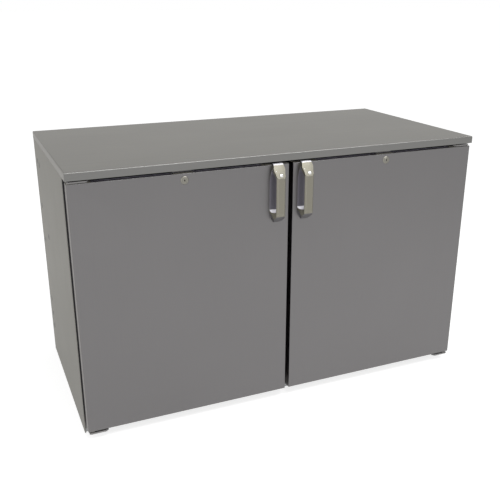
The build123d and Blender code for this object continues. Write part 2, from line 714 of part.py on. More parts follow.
def on_strap(x, z):
    """A point on the strap's slanting front, and the way that it faces."""
    run = STRAP_Y - HANDLE_FRONT
    rise = HOOK_TOP - 2 - GRIP_TOP
    y = HANDLE_FRONT + (z - GRIP_TOP) * run / rise
    return Vector(x, y, z), Vector(0, -rise, run).normalized()


def handle_screws(side):
    """The screw and the small locating pin that show on the strap."""
    centre = handle_centre(side)
    place, way = on_strap(centre + 1.5, HANDLE_SCREW_Z)
    screw_head = extrude(Plane(origin=place, z_dir=way) * RegularPolygon(5.6, 12), 2.2, taper=32)
    place, way = on_strap(centre - 10.6, HANDLE_SCREW_Z + 10.5)
    pin = extrude(Plane(origin=place, z_dir=way) * RegularPolygon(1.5, 8), 0.8)
    return Compound(children=[screw_head, pin])


# Refrigeration


def evaporator_housing():
    """Folded cover under the ceiling at the back, with a round hole before each fan."""
    plan = [
        (-EVAP_HALF, CAVITY_BACK), (-EVAP_HALF, EVAP_FRONT),
        (EVAP_HALF, EVAP_FRONT), (EVAP_HALF, CAVITY_BACK),
    ]
    shell = folded(plan, LINER, "Z", EVAP_BOTTOM, HEADER_BOTTOM, Side.LEFT)
    for x in (-FAN_X, FAN_X):
        shell -= raised(Pos(x, FAN_Z) * RegularPolygon(FAN_RADIUS + 3, 24), EVAP_FRONT - 1, EVAP_FRONT + 3)
    return shell


def evaporator_coil():
    """Fins on a spine, hung from the ceiling, with the tubes' bends standing out at both ends."""
    x = EVAP_HALF - 16
    low = EVAP_BOTTOM + 8
    high = HEADER_BOTTOM
    coil = block(-x, x, COIL_FRONT, COIL_FRONT + 42, low, high)
    pitch = (2 * x - FIN_SHEET) / FIN_SPACES
    for i in range(FIN_SPACES):
        left = -x + FIN_SHEET + i * pitch
        coil -= block(left, left + pitch - FIN_SHEET, COIL_FRONT - 1, COIL_FRONT + 38, low - 1, high + 1)
    for end in (-1, 1):
        for z in (low + 22, low + 64):
            coil += return_bend(end, x, z)
    return coil


def return_bend(end, x, z):
    """Tube at one end of the coil, turning back from one row to the next."""
    y = COIL_FRONT + 20
    root = end * (x - 3)
    out = end * (x + 9)
    path = Polyline((root, y, z), (out, y, z), (out, y, z + 22), (root, y, z + 22))
    start = Plane(origin=(root, y, z), x_dir=(0, 1, 0), z_dir=(end, 0, 0))
    return sweep(start * RegularPolygon(4.5, 6), path, transition=Transition.RIGHT)


def drain_pan():
    """Tray with sloping sides under the coil, and the pipe that drains it through the floor."""
    wide = 2 * EVAP_HALF
    deep = CAVITY_BACK - EVAP_FRONT
    middle = (CAVITY_BACK + EVAP_FRONT) / 2
    top = Plane.XY.offset(EVAP_BOTTOM) * Pos(0, middle) * Rectangle(wide, deep)
    well = Plane.XY.offset(EVAP_BOTTOM) * Pos(0, middle) * Rectangle(wide - 3, deep - 3)
    pan = extrude(top, -16, taper=10) - extrude(well, -14.5, taper=10)
    bottom = EVAP_BOTTOM - 16
    return pan + drain(DRAIN_RADIUS, 2, bottom + 0.5) - drain(DRAIN_RADIUS - 1.5, 0, bottom + 4)


def fan_motors():
    """Small motors of square laminations, each on a strap fixed inside the housing."""
    motors = []
    for x in (-FAN_X, FAN_X):
        motor = block(x - 17, x + 17, MOTOR_FRONT, MOTOR_FRONT + 12, FAN_Z - 22, FAN_Z + 14)
        motor += block(x - 12, x + 12, MOTOR_FRONT + 12, MOTOR_FRONT + 26, FAN_Z - 20, FAN_Z - 4)
        motor += block(x - 7, x + 7, MOTOR_FRONT + 12, MOTOR_FRONT + 14, EVAP_BOTTOM + 1, HEADER_BOTTOM)
        motor += rod(SHAFT_RADIUS, (x, MOTOR_FRONT - 18, FAN_Z), (x, MOTOR_FRONT + 1, FAN_Z))
        motors.append(motor)
    return Compound(children=motors)


def fan_blade(side):
    """Five cupped blades, set at a slant on a hub that runs on the motor's shaft."""
    wheel = extrude(RegularPolygon(12, 10), FAN_DEEP)
    camber = Polyline((-14, 4), (0, 5.5), (14, -4))
    section = make_face(offset(camber, amount=1.4, side=Side.RIGHT, kind=Kind.INTERSECTION))
    blade = Rot(90, 0, 0) * extrude(section, FAN_RADIUS - 3)
    for i in range(5):
        wheel += Rot(0, 0, i * 72) * (Pos(0, 0, FAN_DEEP / 2) * blade)
    wheel -= rod(SHAFT_RADIUS + 0.05, (0, 0, -1), (0, 0, FAN_DEEP + 1))
    wheel = Plane(origin=(-FAN_X, FAN_FRONT, FAN_Z), z_dir=(0, 1, 0)) * wheel
    return on_side(wheel, side)


def fan_guards():
    """Square finger guards with level bars, snapped over the fan holes."""
    reach = FAN_RADIUS + 9
    inner = reach - 5
    bars = 6
    rim = corners_cut(Rectangle(2 * reach, 2 * reach), 4.0) - Rectangle(2 * inner, 2 * inner)
    guard = raised(Pos(-FAN_X, FAN_Z) * rim, EVAP_FRONT - 5, EVAP_FRONT)
    for i in range(bars):
        z = FAN_Z - inner + (i + 0.5) * 2 * inner / bars
        guard += block(
            -FAN_X - inner - 1, -FAN_X + inner + 1, EVAP_FRONT - 4, EVAP_FRONT - 2, z - 1.2, z + 1.2,
        )
    return both_sides(guard)


# Controls and light


def thermostat_body():
    """Control box on the evaporator housing's front, between the fans."""
    box = block(-32, 32, EVAP_FRONT - 22, EVAP_FRONT, FAN_Z - 34, FAN_Z + 34)
    box = chamfer(box.faces().sort_by(Axis.Y)[0].edges(), 2.0)
    return box - rod(KNOB_SHAFT + 0.05, (0, EVAP_FRONT - 30, FAN_Z), (0, EVAP_FRONT - 8, FAN_Z))


def thermostat_knob():
    """Twelve-sided knob with a pointer ridge, on a stub shaft in the control box."""
    back = EVAP_FRONT - 22.4
    front = back - 15
    grip = extrude(Plane(origin=(0, back, FAN_Z), z_dir=(0, -1, 0)) * RegularPolygon(15.5, 12), 15)
    grip = chamfer(grip.faces().sort_by(Axis.Y)[0].edges(), 1.2)
    shaft = rod(KNOB_SHAFT, (0, back - 1, FAN_Z), (0, back + 12, FAN_Z))
    ridge = [(-3, FAN_Z - 11), (3, FAN_Z - 11), (3, FAN_Z + 8), (0, FAN_Z + 12.5), (-3, FAN_Z + 8)]
    return grip + shaft + drawn(ridge, "Y", front - 3, front + 1)


def light_bar():
    """Slim lamp under the ceiling behind the header, with a switch box at its left end."""
    section = [
        (-196, HEADER_BOTTOM), (-196, 692), (-191, 688), (-177, 688), (-172, 692), (-172, HEADER_BOTTOM),
    ]
    lamp = drawn(section, "X", -380, 400)
    box = block(-430, -380, -198, -168, 678, HEADER_BOTTOM)
    box = chamfer(box.edges().filter_by(Axis.X).group_by(Axis.Z)[0], 1.5)
    box -= block(-416, -394, -199, -186, 682.6, 695.4)
    return lamp + box + rod(1.4, (-418, -194, 689), (-392, -194, 689))


def light_switch():
    """Rocker that tilts on a cross pin in the switch box."""
    section = [(-200.5, 683.6), (-199.2, 689), (-200.5, 694.4), (-194, 694.4), (-190, 692), (-190, 686),
               (-194, 683.6)]
    return drawn(section, "X", -415, -395) - rod(1.45, (-420, -194, 689), (-390, -194, 689))


# Shelves


def pilaster():
    """Upright channel, open towards the wall, with a row of slots in its face."""
    half = PILASTER_WIDE / 2
    plan = [(-half, 0), (-half, -PILASTER_DEPTH), (half, -PILASTER_DEPTH), (half, 0)]
    strip = folded(plan, PILASTER_SHEET, "Z", PILASTER_BOTTOM, PILASTER_TOP, Side.LEFT)
    for i in range(SLOT_COUNT):
        z = PILASTER_BOTTOM + SLOT_START + i * SLOT_PITCH
        strip -= block(-2, 2, -PILASTER_DEPTH - 1, -PILASTER_DEPTH + 3, z - 6, z + 6)
    return strip


def pilaster_places():
    """Each upright's place and turn: x, y and the angle from facing the front."""
    back = FACE + MULLION_DEPTH
    places = [(-OPENING_HALF, y, 90) for y in SIDE_PILASTERS]
    places += [(OPENING_HALF, y, -90) for y in SIDE_PILASTERS]
    for x in (-CENTER_PILASTER, CENTER_PILASTER):
        places += [(x, back, 180), (x, CAVITY_BACK, 0)]
    return places


def shelf_pilasters():
    """Uprights: two on each side wall, two behind the mullion, two on the back wall."""
    upright = pilaster()
    return Compound(children=[Pos(x, y, 0) * Rot(0, 0, turn) * upright for x, y, turn in pilaster_places()])


def shelf_clips():
    """Bent steel clips hooked into the uprights' slots, one in each upright for each shelf."""
    clips = []
    for height in SHELF_HEIGHTS.values():
        top = height - 2 * RIM_FLAT
        out = -PILASTER_DEPTH
        section = [
            (out + 3, top - 6), (out - 1.5, top - 6), (out - 1.5, top),
            (out - 31, top), (out - 33, top + 5),
        ]
        clip = folded(section, 1.5, "X", -1.8, 1.8, Side.LEFT)
        clips += [Pos(x, y, 0) * Rot(0, 0, turn) * clip for x, y, turn in pilaster_places()]
    return Compound(children=clips)


def wire_shelf(side, height):
    """Welded wire shelf: a bent rim and a cross bar, with wires from front to back on top."""
    wide = SHELF_OUTER - SHELF_INNER - 2 * RIM_RADIUS
    deep = SHELF_BACK - SHELF_FRONT - 2 * RIM_RADIUS
    middle = height - RIM_FLAT
    x = -(SHELF_OUTER + SHELF_INNER) / 2
    y = (SHELF_FRONT + SHELF_BACK) / 2
    path = Pos(x, y, middle) * Rectangle(wide, deep).wire()
    octagon = Rot(0, 0, 22.5) * RegularPolygon(RIM_RADIUS, 8)
    shelf = sweep(Plane(origin=path @ 0, z_dir=path % 0) * octagon, path, transition=Transition.RIGHT)
    start = Plane(origin=(x - wide / 2, CROSS_BAR, middle), x_dir=(0, 0, 1), z_dir=(1, 0, 0))
    shelf += extrude(start * octagon, wide)
    pitch = wide / (WIRE_COUNT + 1)
    square = Rot(0, 0, 45) * RegularPolygon(WIRE_RADIUS, 4)
    for i in range(WIRE_COUNT):
        place = (x - wide / 2 + (i + 1) * pitch, y + deep / 2, height + WIRE_FLAT)
        start = Plane(origin=place, x_dir=(1, 0, 0), z_dir=(0, -1, 0))
        shelf += extrude(start * square, deep)
    return on_side(shelf, side)


def build_cabinet():
    """Every piece of the fixed casing, by name."""
    pieces = {
        "worktop": worktop(),
        "left_side_panel": left_side_panel(),
        "right_side_panel": mirror(side_panel(), about=Plane.YZ),
        "back_panel": back_panel(),
        "base_pan": base_pan(),
        "leg_sockets": leg_sockets(),
        "sill_rail": sill_rail(),
        "header_rail": header_rail(),
        "jamb_strips": jamb_strips(),
        "center_mullion": center_mullion(),
        "liner_side_walls": liner_side_walls(),
        "liner_back_wall": liner_back_wall(),
        "liner_floor": liner_floor(),
        "liner_ceiling": liner_ceiling(),
        "line_hole_plugs": line_hole_plugs(),
    }
    pieces["cabinet_insulation"] = cabinet_insulation(list(pieces.values()))
    pieces["hinge_brackets"] = hinge_brackets()
    pieces["lock_strikes"] = lock_strikes()
    pieces["casing_screws"] = casing_screws()
    pieces["shelf_pilasters"] = shelf_pilasters()
    pieces["shelf_clips"] = shelf_clips()
    pieces["evaporator_housing"] = evaporator_housing()
    pieces["evaporator_coil"] = evaporator_coil()
    pieces["drain_pan"] = drain_pan()
    pieces["fan_motors"] = fan_motors()
    pieces["fan_guards"] = fan_guards()
    pieces["thermostat_body"] = thermostat_body()
    pieces["thermostat_knob"] = thermostat_knob()
    pieces["light_bar"] = light_bar()
    pieces["light_switch"] = light_switch()
    return pieces


def build_side(side):
    """The door, lock, handle, fan blade and shelves of one side, by name."""
    pieces = {
        "door_pan": door_pan(side),
        "door_plates": door_plates(side),
        "door_bushes": door_bushes(side),
        "door_frame": door_frame(side),
        "door_gasket": door_gasket(side),
        "door_inner_panel": door_inner_panel(side),
        "lock_cylinder": lock_cylinder(side),
    }
    pieces["door_insulation"] = door_insulation(side, list(pieces.values()))
    pieces["lock_plug"] = lock_plug(side)
    pieces["lock_cam"] = lock_cam(side)
    pieces["handle"] = handle(side)
    pieces["handle_screws"] = handle_screws(side)
    pieces["fan_blade"] = fan_blade(side)
    for level, height in SHELF_HEIGHTS.items():
        pieces[level + "_shelf"] = wire_shelf(side, height)
    return {side + "_" + name: piece for name, piece in pieces.items()}


if __name__ == "__main__":
    os.makedirs("parts", exist_ok=True)
    cooler = build_cabinet()
    for hand in ("left", "right"):
        cooler.update(build_side(hand))
    for node, piece in cooler.items():
        export_step(piece, "parts/" + node + ".step")
    print(len(cooler), "pieces written")
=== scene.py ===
import math

import bmesh
import bpy
from mathutils import Matrix, Vector


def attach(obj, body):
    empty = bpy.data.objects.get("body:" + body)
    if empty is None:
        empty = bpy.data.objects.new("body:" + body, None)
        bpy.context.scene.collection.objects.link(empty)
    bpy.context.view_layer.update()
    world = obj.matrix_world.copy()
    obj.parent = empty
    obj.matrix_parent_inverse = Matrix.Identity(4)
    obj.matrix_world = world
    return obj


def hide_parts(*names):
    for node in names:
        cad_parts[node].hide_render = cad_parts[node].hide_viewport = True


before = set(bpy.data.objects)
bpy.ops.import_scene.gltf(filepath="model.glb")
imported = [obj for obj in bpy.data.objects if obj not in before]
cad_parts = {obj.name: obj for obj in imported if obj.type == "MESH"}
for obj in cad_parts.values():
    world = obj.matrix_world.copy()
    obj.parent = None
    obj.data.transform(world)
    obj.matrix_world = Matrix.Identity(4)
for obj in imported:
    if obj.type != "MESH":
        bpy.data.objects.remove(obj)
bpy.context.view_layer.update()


# The worktop: one sheet of satin stainless, folded down on four sides over a 3 mm radius, with
# its edge hemmed back under the nose. It is brushed along its length.

HALF_WIDTH = 0.6095
BACK = 0.318
TOP_FRONT = -0.292
FACE = -0.242
TOP_UNDER = 0.741
TOP = 0.762
SHEET = 0.0012
SQUARE = 0.99999
NOSE_RADIUS = 0.0034
NOSE_HEM = 0.012
TOP_STEEL = (0.190, 0.188, 0.182)
STREAK_WIDTH = 0.0012
STREAK_LENGTH = 0.11
STREAK_DEPTH = 0.000003


def feed(material, node, key, value):
    """Sets a node's input, known by its place or its name, or joins another node's output to it."""
    socket = node.inputs[key if isinstance(key, int) else key.replace("_", " ")]
    if isinstance(value, bpy.types.NodeSocket):
        material.node_tree.links.new(value, socket)
    else:
        socket.default_value = value


def add_node(material, kind, settings=None, plugs=(), **values):
    """A shader node, with its first inputs fed from plugs and others by their names."""
    node = material.node_tree.nodes.new("ShaderNode" + kind)
    for name, value in (settings or {}).items():
        setattr(node, name, value)
    for key, value in [*enumerate(plugs), *values.items()]:
        feed(material, node, key, value)
    return node


def spread(material, value, low, high, start=0.3, end=0.7):
    """A noise value stretched to run from low to high."""
    return add_node(material, "MapRange", plugs=(value, start, end, low, high)).outputs["Result"]


def noise(material, scale, detail=3.0, rough=0.5, stretch=(1.0, 1.0, 1.0)):
    """Noise fixed to the piece, with scale features to a metre, stretched along the axes."""
    place = add_node(material, "TexCoord").outputs["Object"]
    place = add_node(material, "Mapping", Vector=place, Scale=stretch).outputs["Vector"]
    texture = add_node(material, "TexNoise", Vector=place, Scale=scale, Detail=detail, Roughness=rough)
    return texture.outputs["Fac"]


def toned(material, tone, *shifts):
    """The tone, brightened or darkened by each of the shifts, which are numbers round 1."""
    colour = tone
    for shift in shifts:
        colour = add_node(
            material, "VectorMath", {"operation": "SCALE"}, (colour,), Scale=shift).outputs["Vector"]
    return colour


def finish(material, colour, roughness, relief=None, depth=0.0001, **values):
    """Joins a colour, a roughness and a relief of a real depth to the material's shader."""
    if relief is not None:
        values["Normal"] = add_node(material, "Bump", Height=relief, Distance=depth, Strength=1.0).outputs["Normal"]
    shader = material.node_tree.nodes["Principled BSDF"]
    for name, value in {"Base Color": colour, "Roughness": roughness, **values}.items():
        feed(material, shader, name, value)
    return material


def new_material(name):
    material = bpy.data.materials.new(name)
    material.use_nodes = True
    return material


def brushed_sheet(name, tone, along, roughness=0.36, edge=0.82):
    """Stainless sheet brushed along one axis, with faint streaks and wiped, cloudy patches.

    The edge value is how bright it turns where it is seen at a flat angle.
    """
    material = new_material(name)
    fine = [1 / STREAK_WIDTH] * 3
    fine["XYZ".index(along)] = 1 / STREAK_LENGTH
    streaks = noise(material, 1.0, detail=4.0, rough=0.65, stretch=fine)
    clouds = noise(material, 2.2, detail=2.0)
    wiped = noise(material, 8.0, detail=4.0, stretch=(0.6, 1.0, 1.4))
    scuffs = noise(material, 1.0, detail=2.0, stretch=[value * 0.12 for value in fine])
    colour = toned(
        material, tone, spread(material, streaks, 0.985, 1.015), spread(material, clouds, 0.985, 1.015),
        spread(material, wiped, 0.994, 1.006),
    )
    wiping = spread(material, wiped, roughness - 0.01, roughness + 0.01)
    scuffing = spread(material, scuffs, 0.0, 0.03, 0.62, 0.74)
    gloss = add_node(material, "Math", {"operation": "ADD"}, (wiping, scuffing)).outputs[0]
    tint = (edge, 0.985 * edge, 0.95 * edge, 1.0)
    return finish(material, colour, gloss, streaks, STREAK_DEPTH, Metallic=1.0, Specular_Tint=tint)


def walled(shape, rings):
    """The shape with faces from each ring of points to the next; a ring can be a single point."""
    count = max(map(len, rings))
    for ring, other in zip(rings, rings[1:]):
        for i in range(count):
            j = (i + 1) % count
            corners = (ring[i % len(ring)], ring[j % len(ring)], other[j % len(other)], other[i % len(other)])
            corners = list(dict.fromkeys(corners))
            if len(corners) > 2:
                shape.faces.new(corners)
    bmesh.ops.recalc_face_normals(shape, faces=shape.faces)
    return shape


def prism(axis, outline, low, high):
    """A bar with a drawn outline: (y, z) along X, (x, z) along Y or (x, y) along Z."""
    order = {"X": (2, 0, 1), "Y": (0, 2, 1), "Z": (0, 1, 2)}[axis]
    shape = bmesh.new()
    rings = []
    for end in (low, high):
        corners = [(u, v, end) for u, v in outline]
        rings.append([shape.verts.new([corner[i] for i in order]) for corner in corners])
    for ring in rings:
        shape.faces.new(ring)
    return walled(shape, rings)


def joined(shapes):
    """All the shapes as one, which keep out of each other or only touch."""
    whole = bmesh.new()
    mesh = bpy.data.meshes.new("joined")
    for shape in shapes:
        shape.to_mesh(mesh)
        whole.from_mesh(mesh)
        shape.free()
    bpy.data.meshes.remove(mesh)
    return whole


def shown(name, data):
    thing = bpy.data.objects.new(name, data)
    bpy.context.scene.collection.objects.link(thing)
    return thing


def settle(piece, crease=35):
    """Works a piece's modifiers into its mesh; its folds, and faces square to an axis, are shaded flat."""
    seen = piece.evaluated_get(bpy.context.evaluated_depsgraph_get())
    mesh = bpy.data.meshes.new_from_object(seen)
    piece.modifiers.clear()
    piece.data = mesh
    mesh.set_sharp_from_angle(angle=math.radians(crease))
    mesh.polygons.foreach_set("use_smooth", [max(map(abs, face.normal)) < SQUARE for face in mesh.polygons])
    return piece


def made(shapes, name, body, material, slot, *nodes, crease=35):
    """Turns built shapes into one piece of the cooler, in place of CAD nodes."""
    mesh = bpy.data.meshes.new(name)
    whole = joined(shapes)
    whole.to_mesh(mesh)
    whole.free()
    mesh.materials.append(material)
    piece = shown(name, mesh)
    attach(piece, body)
    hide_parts(*nodes)
    return settle(piece, crease)


def thickened(piece, thickness, even=True, offset=-1.0, crease=35):
    """Gives bare faces the thickness of their sheet: inwards, or to both sides for an offset of 0."""
    sheet = piece.modifiers.new("sheet", "SOLIDIFY")
    sheet.thickness = thickness
    sheet.offset = offset
    sheet.use_even_offset = even
    return settle(piece, crease)


def folded_top():
    corners = [(-HALF_WIDTH, TOP_FRONT), (HALF_WIDTH, TOP_FRONT), (HALF_WIDTH, BACK), (-HALF_WIDTH, BACK)]
    shell = prism("Z", corners, TOP_UNDER, TOP)
    bottom = [face for face in shell.faces if face.normal.z < -0.5]
    bmesh.ops.delete(shell, geom=bottom, context="FACES_ONLY")
    rim = [edge for edge in shell.edges if all(vert.co.z > TOP - 1e-5 for vert in edge.verts)]
    bmesh.ops.bevel(shell, geom=rim, offset=NOSE_RADIUS, segments=5, profile=0.5, affect="EDGES")
    return shell


def hem(inner_half, inner_front):
    """The strip folded back under the nose: along the front and a little way down both sides."""
    outer = HALF_WIDTH - SHEET
    front = TOP_FRONT + SHEET
    outline = [
        (-outer, front), (outer, front), (outer, FACE), (inner_half, FACE),
        (inner_half, inner_front), (-inner_half, inner_front), (-inner_half, FACE), (-outer, FACE),
    ]
    return prism("Z", outline, TOP_UNDER, TOP_UNDER + SHEET)


top_steel = brushed_sheet("worktop_steel", TOP_STEEL, "X")
worktop = made([folded_top()], "folded_worktop", "cabinet", top_steel, "satin_stainless", "worktop")
thickened(worktop, SHEET)
made([hem(HALF_WIDTH - NOSE_HEM, TOP_FRONT + NOSE_HEM)], "worktop_hem", "cabinet", top_steel, "satin_stainless")


# The sides of the casing: the same sheet brushed upright, folded inwards along the front over a
# small radius and flanged in at the rear, where the back is screwed on.

PANEL_TOP = 0.7406
LAND = 0.606
PANEL_FOLD = 0.0055
REAR_FLANGE = 0.020
BEND = 0.0012
# painted light: the sides' steel is a lighter, warmer copy of the worktop's sheet, for how the side is lit
LIGHTER_SIDE_STEEL = (0.222, 0.218, 0.203)
SIDES = (("left", 1), ("right", -1))


def bent(points, thickness, radius=BEND, steps=4):
    """The outline of sheet folded along points, lying to the left of the line, with round bends."""
    path = [Vector(point) for point in points]
    line = [path[0]]
    offset_line = [path[0] + (path[1] - path[0]).normalized().orthogonal() * thickness]
    for before, corner, after in zip(path, path[1:], path[2:]):
        way_in = (corner - before).normalized()
        way_out = (after - corner).normalized()
        turn = math.atan2(way_in.x * way_out.y - way_in.y * way_out.x, way_in.dot(way_out))
        side = 1 if turn > 0 else -1
        reach = radius + thickness if turn > 0 else radius
        start = corner - way_in * reach * math.tan(abs(turn) / 2)
        across = way_in.orthogonal() * side
        centre = start + across * reach
        for step in range(steps + 1):
            spoke = -across
            spoke.rotate(Matrix.Rotation(turn * step / steps, 2))
            line.append(centre + spoke * reach)
            offset_line.append(centre + spoke * (reach - thickness * side))
    line.append(path[-1])
    offset_line.append(path[-1] + (path[-1] - path[-2]).normalized().orthogonal() * thickness)
    return [tuple(point) for point in line + offset_line[::-1]]


def on_side(piece, way, crease=35):
    """Mirrors a piece that was built on the left over to the right, where way is -1."""
    if way < 0:
        whole = bmesh.new()
        whole.from_mesh(piece.data)
        bmesh.ops.scale(whole, vec=(-1, 1, 1), verts=whole.verts)
        bmesh.ops.reverse_faces(whole, faces=whole.faces)
        whole.to_mesh(piece.data)
        whole.free()
        settle(piece, crease)
    return piece


# painted light: the same sheet with a lighter, warmer tone and a lower edge value that dulls its grazing reflection
side_steel = brushed_sheet("side_steel", LIGHTER_SIDE_STEEL, "Z", edge=0.63)
side_plan = bent([
    (-HALF_WIDTH + REAR_FLANGE, BACK - SHEET), (-HALF_WIDTH, BACK - SHEET),
    (-HALF_WIDTH, FACE), (-LAND, FACE), (-LAND, FACE + PANEL_FOLD),
], SHEET)
for side, way in SIDES:
    on_side(made(
        [prism("Z", side_plan, 0, PANEL_TOP)], side + "_folded_side", "cabinet", side_steel, "satin_stainless",
        side + "_side_panel",
    ), way)


# The caps in the line holes at the rear of the left side: grey moulded buttons with a thin
# flange, pressed in.

CAP_PLACES = [
    (0.266, 0.677), (0.266, 0.533), (0.266, 0.419), (0.266, 0.209), (0.266, 0.155), (0.266, 0.110),
    (0.226, 0.672), (0.165, 0.457),
]
CAP_PROFILE = [
    (0.0, 0.00025), (0.0052, 0.00030), (0.0060, 0.00060), (0.0078, 0.00060), (0.0087, 0.00040),
    (0.0090, 0.0), (0.0076, 0.0), (0.0074, -0.0030), (0.0, -0.0030),
]


def lathe(profile, place, way, count=32):
    """A turned shape: the profile is (radius, distance from the place along the way)."""
    way = Vector(way).normalized()
    frame_turn = way.to_track_quat("Z", "Y")
    place = Vector(place)
    shape = bmesh.new()
    rings = []
    for radius, along in profile:
        spokes = count if radius > 0 else 1
        ring = []
        for i in range(spokes):
            angle = 2 * math.pi * i / spokes
            spoke = frame_turn @ Vector((radius * math.cos(angle), radius * math.sin(angle), along))
            ring.append(shape.verts.new(place + spoke))
        rings.append(ring)
    return walled(shape, rings)


def grained(name, tone, broad, shade, fine, flecks, gloss, depth, **values):
    """A material whose tone and gloss drift with a broad noise, and whose relief is a fine one.

    A noise is given as its scale, detail and so on, and an effect as its lowest and highest value.
    """
    material = new_material(name)
    drift = noise(material, *broad)
    grain = noise(material, *fine)
    colour = toned(material, tone, spread(material, drift, *shade), spread(material, grain, *flecks))
    return finish(material, colour, spread(material, drift, *gloss), grain, depth, **values)


def moulded(name, tone, roughness=0.5, grain=0.0006, depth=0.00006, uneven=0.05, **values):
    """Moulded plastic with the fine grain of its mould and a slightly uneven tone."""
    return grained(
        name, tone, (18.0, 3.0), (1 - uneven, 1 + uneven), (1 / grain, 2.0), (0.97, 1.03),
        (roughness - 0.06, roughness + 0.06), depth, **values,
    )


made(
    [lathe(CAP_PROFILE, (-HALF_WIDTH, y, z), (-1, 0, 0)) for y, z in CAP_PLACES], "round_hole_caps", "cabinet",
    moulded("cap_plastic", (0.115, 0.115, 0.114), 0.42), "grey_plastic", "line_hole_plugs",
)


# The back and the base: galvanised sheet, whose zinc has frozen in pale and dark spangles. The
# back is screwed on, and the base is turned up all round and holds the nuts for the legs.

SPANGLE = 0.012
ZINC_SHEET = (0.345, 0.352, 0.355)


def cells(material, scale, feature="F1", **values):
    """Random cells fixed to the piece, with scale of them to a metre."""
    place = add_node(material, "TexCoord").outputs["Object"]
    return add_node(material, "TexVoronoi", {"feature": feature}, Vector=place, Scale=scale, **values).outputs


def galvanised(name):
    material = new_material(name)
    spangles = cells(material, 1 / SPANGLE)
    parted = add_node(material, "SeparateColor", Color=spangles["Color"]).outputs
    dust = noise(material, 14.0, detail=5.0)
    colour = toned(
        material, ZINC_SHEET, spread(material, parted["Red"], 0.90, 1.08, 0.0, 1.0),
        spread(material, dust, 0.95, 1.04),
    )
    gloss = spread(material, parted["Green"], 0.38, 0.54, 0.0, 1.0)
    return finish(material, colour, gloss, spangles["Distance"], 0.00002, Metallic=0.9)


def dress(material, *names):
    """Gives CAD nodes a material."""
    for name in names:
        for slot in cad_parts[name].material_slots:
            slot.material = material


def plated(name, tone, roughness=0.34, metallic=1.0):
    """Zinc-plated steel: bright, faintly blotched, with the marks of pressing and handling."""
    return grained(
        name, tone, (60.0, 4.0), (0.94, 1.05), (900.0, 3.0, 0.5, (1.0, 0.25, 1.0)), (0.97, 1.03),
        (roughness - 0.06, roughness + 0.08), 0.00002, Metallic=metallic,
    )


dress(galvanised("zinc_sheet"), "back_panel", "base_pan")
dress(plated("socket_zinc", (0.42, 0.41, 0.39)), "leg_sockets")


# The front frame: a stainless sill under the doorways, and dark plastic strips at the sides, the
# top and the post between the doors, which keep the cold from the casing.

# painted shade: the sill's and doors' steel is a darker copy of the worktop's sheet, for the front's weaker light
SHADED_FRONT_STEEL = (0.174, 0.169, 0.170)

dress(brushed_sheet("sill_steel", SHADED_FRONT_STEEL, "X"), "sill_rail")
# partly real breaker strips, partly painted shade: their near-black violet tone stands in for the shade in the gaps
# round the doors
dress(moulded("break_plastic_and_gap_shade", (0.034, 0.032, 0.038), 0.5), "header_rail", "jamb_strips", "center_mullion")


# The liner: embossed aluminium walls and ceiling, and a stainless floor turned up at both ends
# over a 10 mm cove. The emboss is a fine random pebble that hides scratches.

PEBBLE = 0.0045
OPENING = 0.567
FLOOR = 0.063
COVE = 0.010
LINER = 0.001
THROAT_BACK = -0.212
CAVITY_BACK = 0.273


def embossed(name, tone):
    material = new_material(name)
    pebbles = cells(material, 1 / PEBBLE, "SMOOTH_F1", Smoothness=0.6)["Distance"]
    haze = noise(material, 5.0, detail=4.0)
    colour = toned(
        material, tone, spread(material, pebbles, 1.05, 0.9, 0.1, 0.7), spread(material, haze, 0.95, 1.04))
    return finish(material, colour, spread(material, haze, 0.34, 0.46), pebbles, -0.0003, Metallic=1.0)


dress(embossed("liner_sheet", (0.56, 0.57, 0.58)), "liner_side_walls", "liner_back_wall", "liner_ceiling")
floor_section = bent([
    (-OPENING, FLOOR + 2 * COVE), (-OPENING, FLOOR), (OPENING, FLOOR), (OPENING, FLOOR + 2 * COVE),
], LINER, COVE, 6)
made(
    [prism("Y", floor_section, THROAT_BACK, CAVITY_BACK)], "coved_floor", "cabinet",
    brushed_sheet("floor_steel", (0.38, 0.38, 0.37), "X", 0.3), "satin_stainless", "liner_floor",
)


# The foam: polyurethane poured between the liner and the casing, and into the doors, where it
# sets and glues them together. It is seen only where a panel is off.

FOAM = (0.62, 0.50, 0.24)
FOAM_CELLS = 700.0


def foamed(name):
    material = new_material(name)
    bubbles = cells(material, FOAM_CELLS)["Distance"]
    age = noise(material, 7.0, detail=4.0)
    colour = toned(
        material, FOAM, spread(material, age, 0.85, 1.08), spread(material, bubbles, 1.05, 0.85, 0.1, 0.7))
    return finish(material, colour, 0.85, bubbles, 0.0004)


dress(foamed("poured_foam"), "cabinet_insulation", "left_door_insulation", "right_door_insulation")


# The shelves' uprights: zinc-plated channels with a row of slots, two on each side wall, two
# behind the post and two on the back wall.

UPRIGHT_HALF = 0.009
UPRIGHT_DEPTH = 0.010
UPRIGHT_SHEET = 0.0015
UPRIGHT_FOOT = 0.086
UPRIGHT_TOP = 0.546
SLOT_PITCH = 0.019
SLOT_FIRST = 0.114
SLOT_COUNT = 23
SLOT_HALF_WIDE = 0.0020
SLOT_HALF_HIGH = 0.0060
MULLION_BACK = -0.205
UPRIGHT_PLACES = [(-way * OPENING, y, way * 90) for side, way in SIDES for y in (-0.140, 0.190)]
UPRIGHT_PLACES += [(x, y, turn) for y, turn in ((MULLION_BACK, 180), (CAVITY_BACK, 0)) for x in (-0.024, 0.024)]
PAST = 0.001      # how far a cutter reaches past what it cuts


def block(x0, x1, y0, y1, z0, z1):
    return prism("X", [(y0, z0), (y1, z0), (y1, z1), (y0, z1)], x0, x1)


def post(x, z, half_wide, half_high, y_front, y_back):
    """A block that runs along Y, about the line at x and z."""
    return block(x - half_wide, x + half_wide, y_front, y_back, z - half_high, z + half_high)


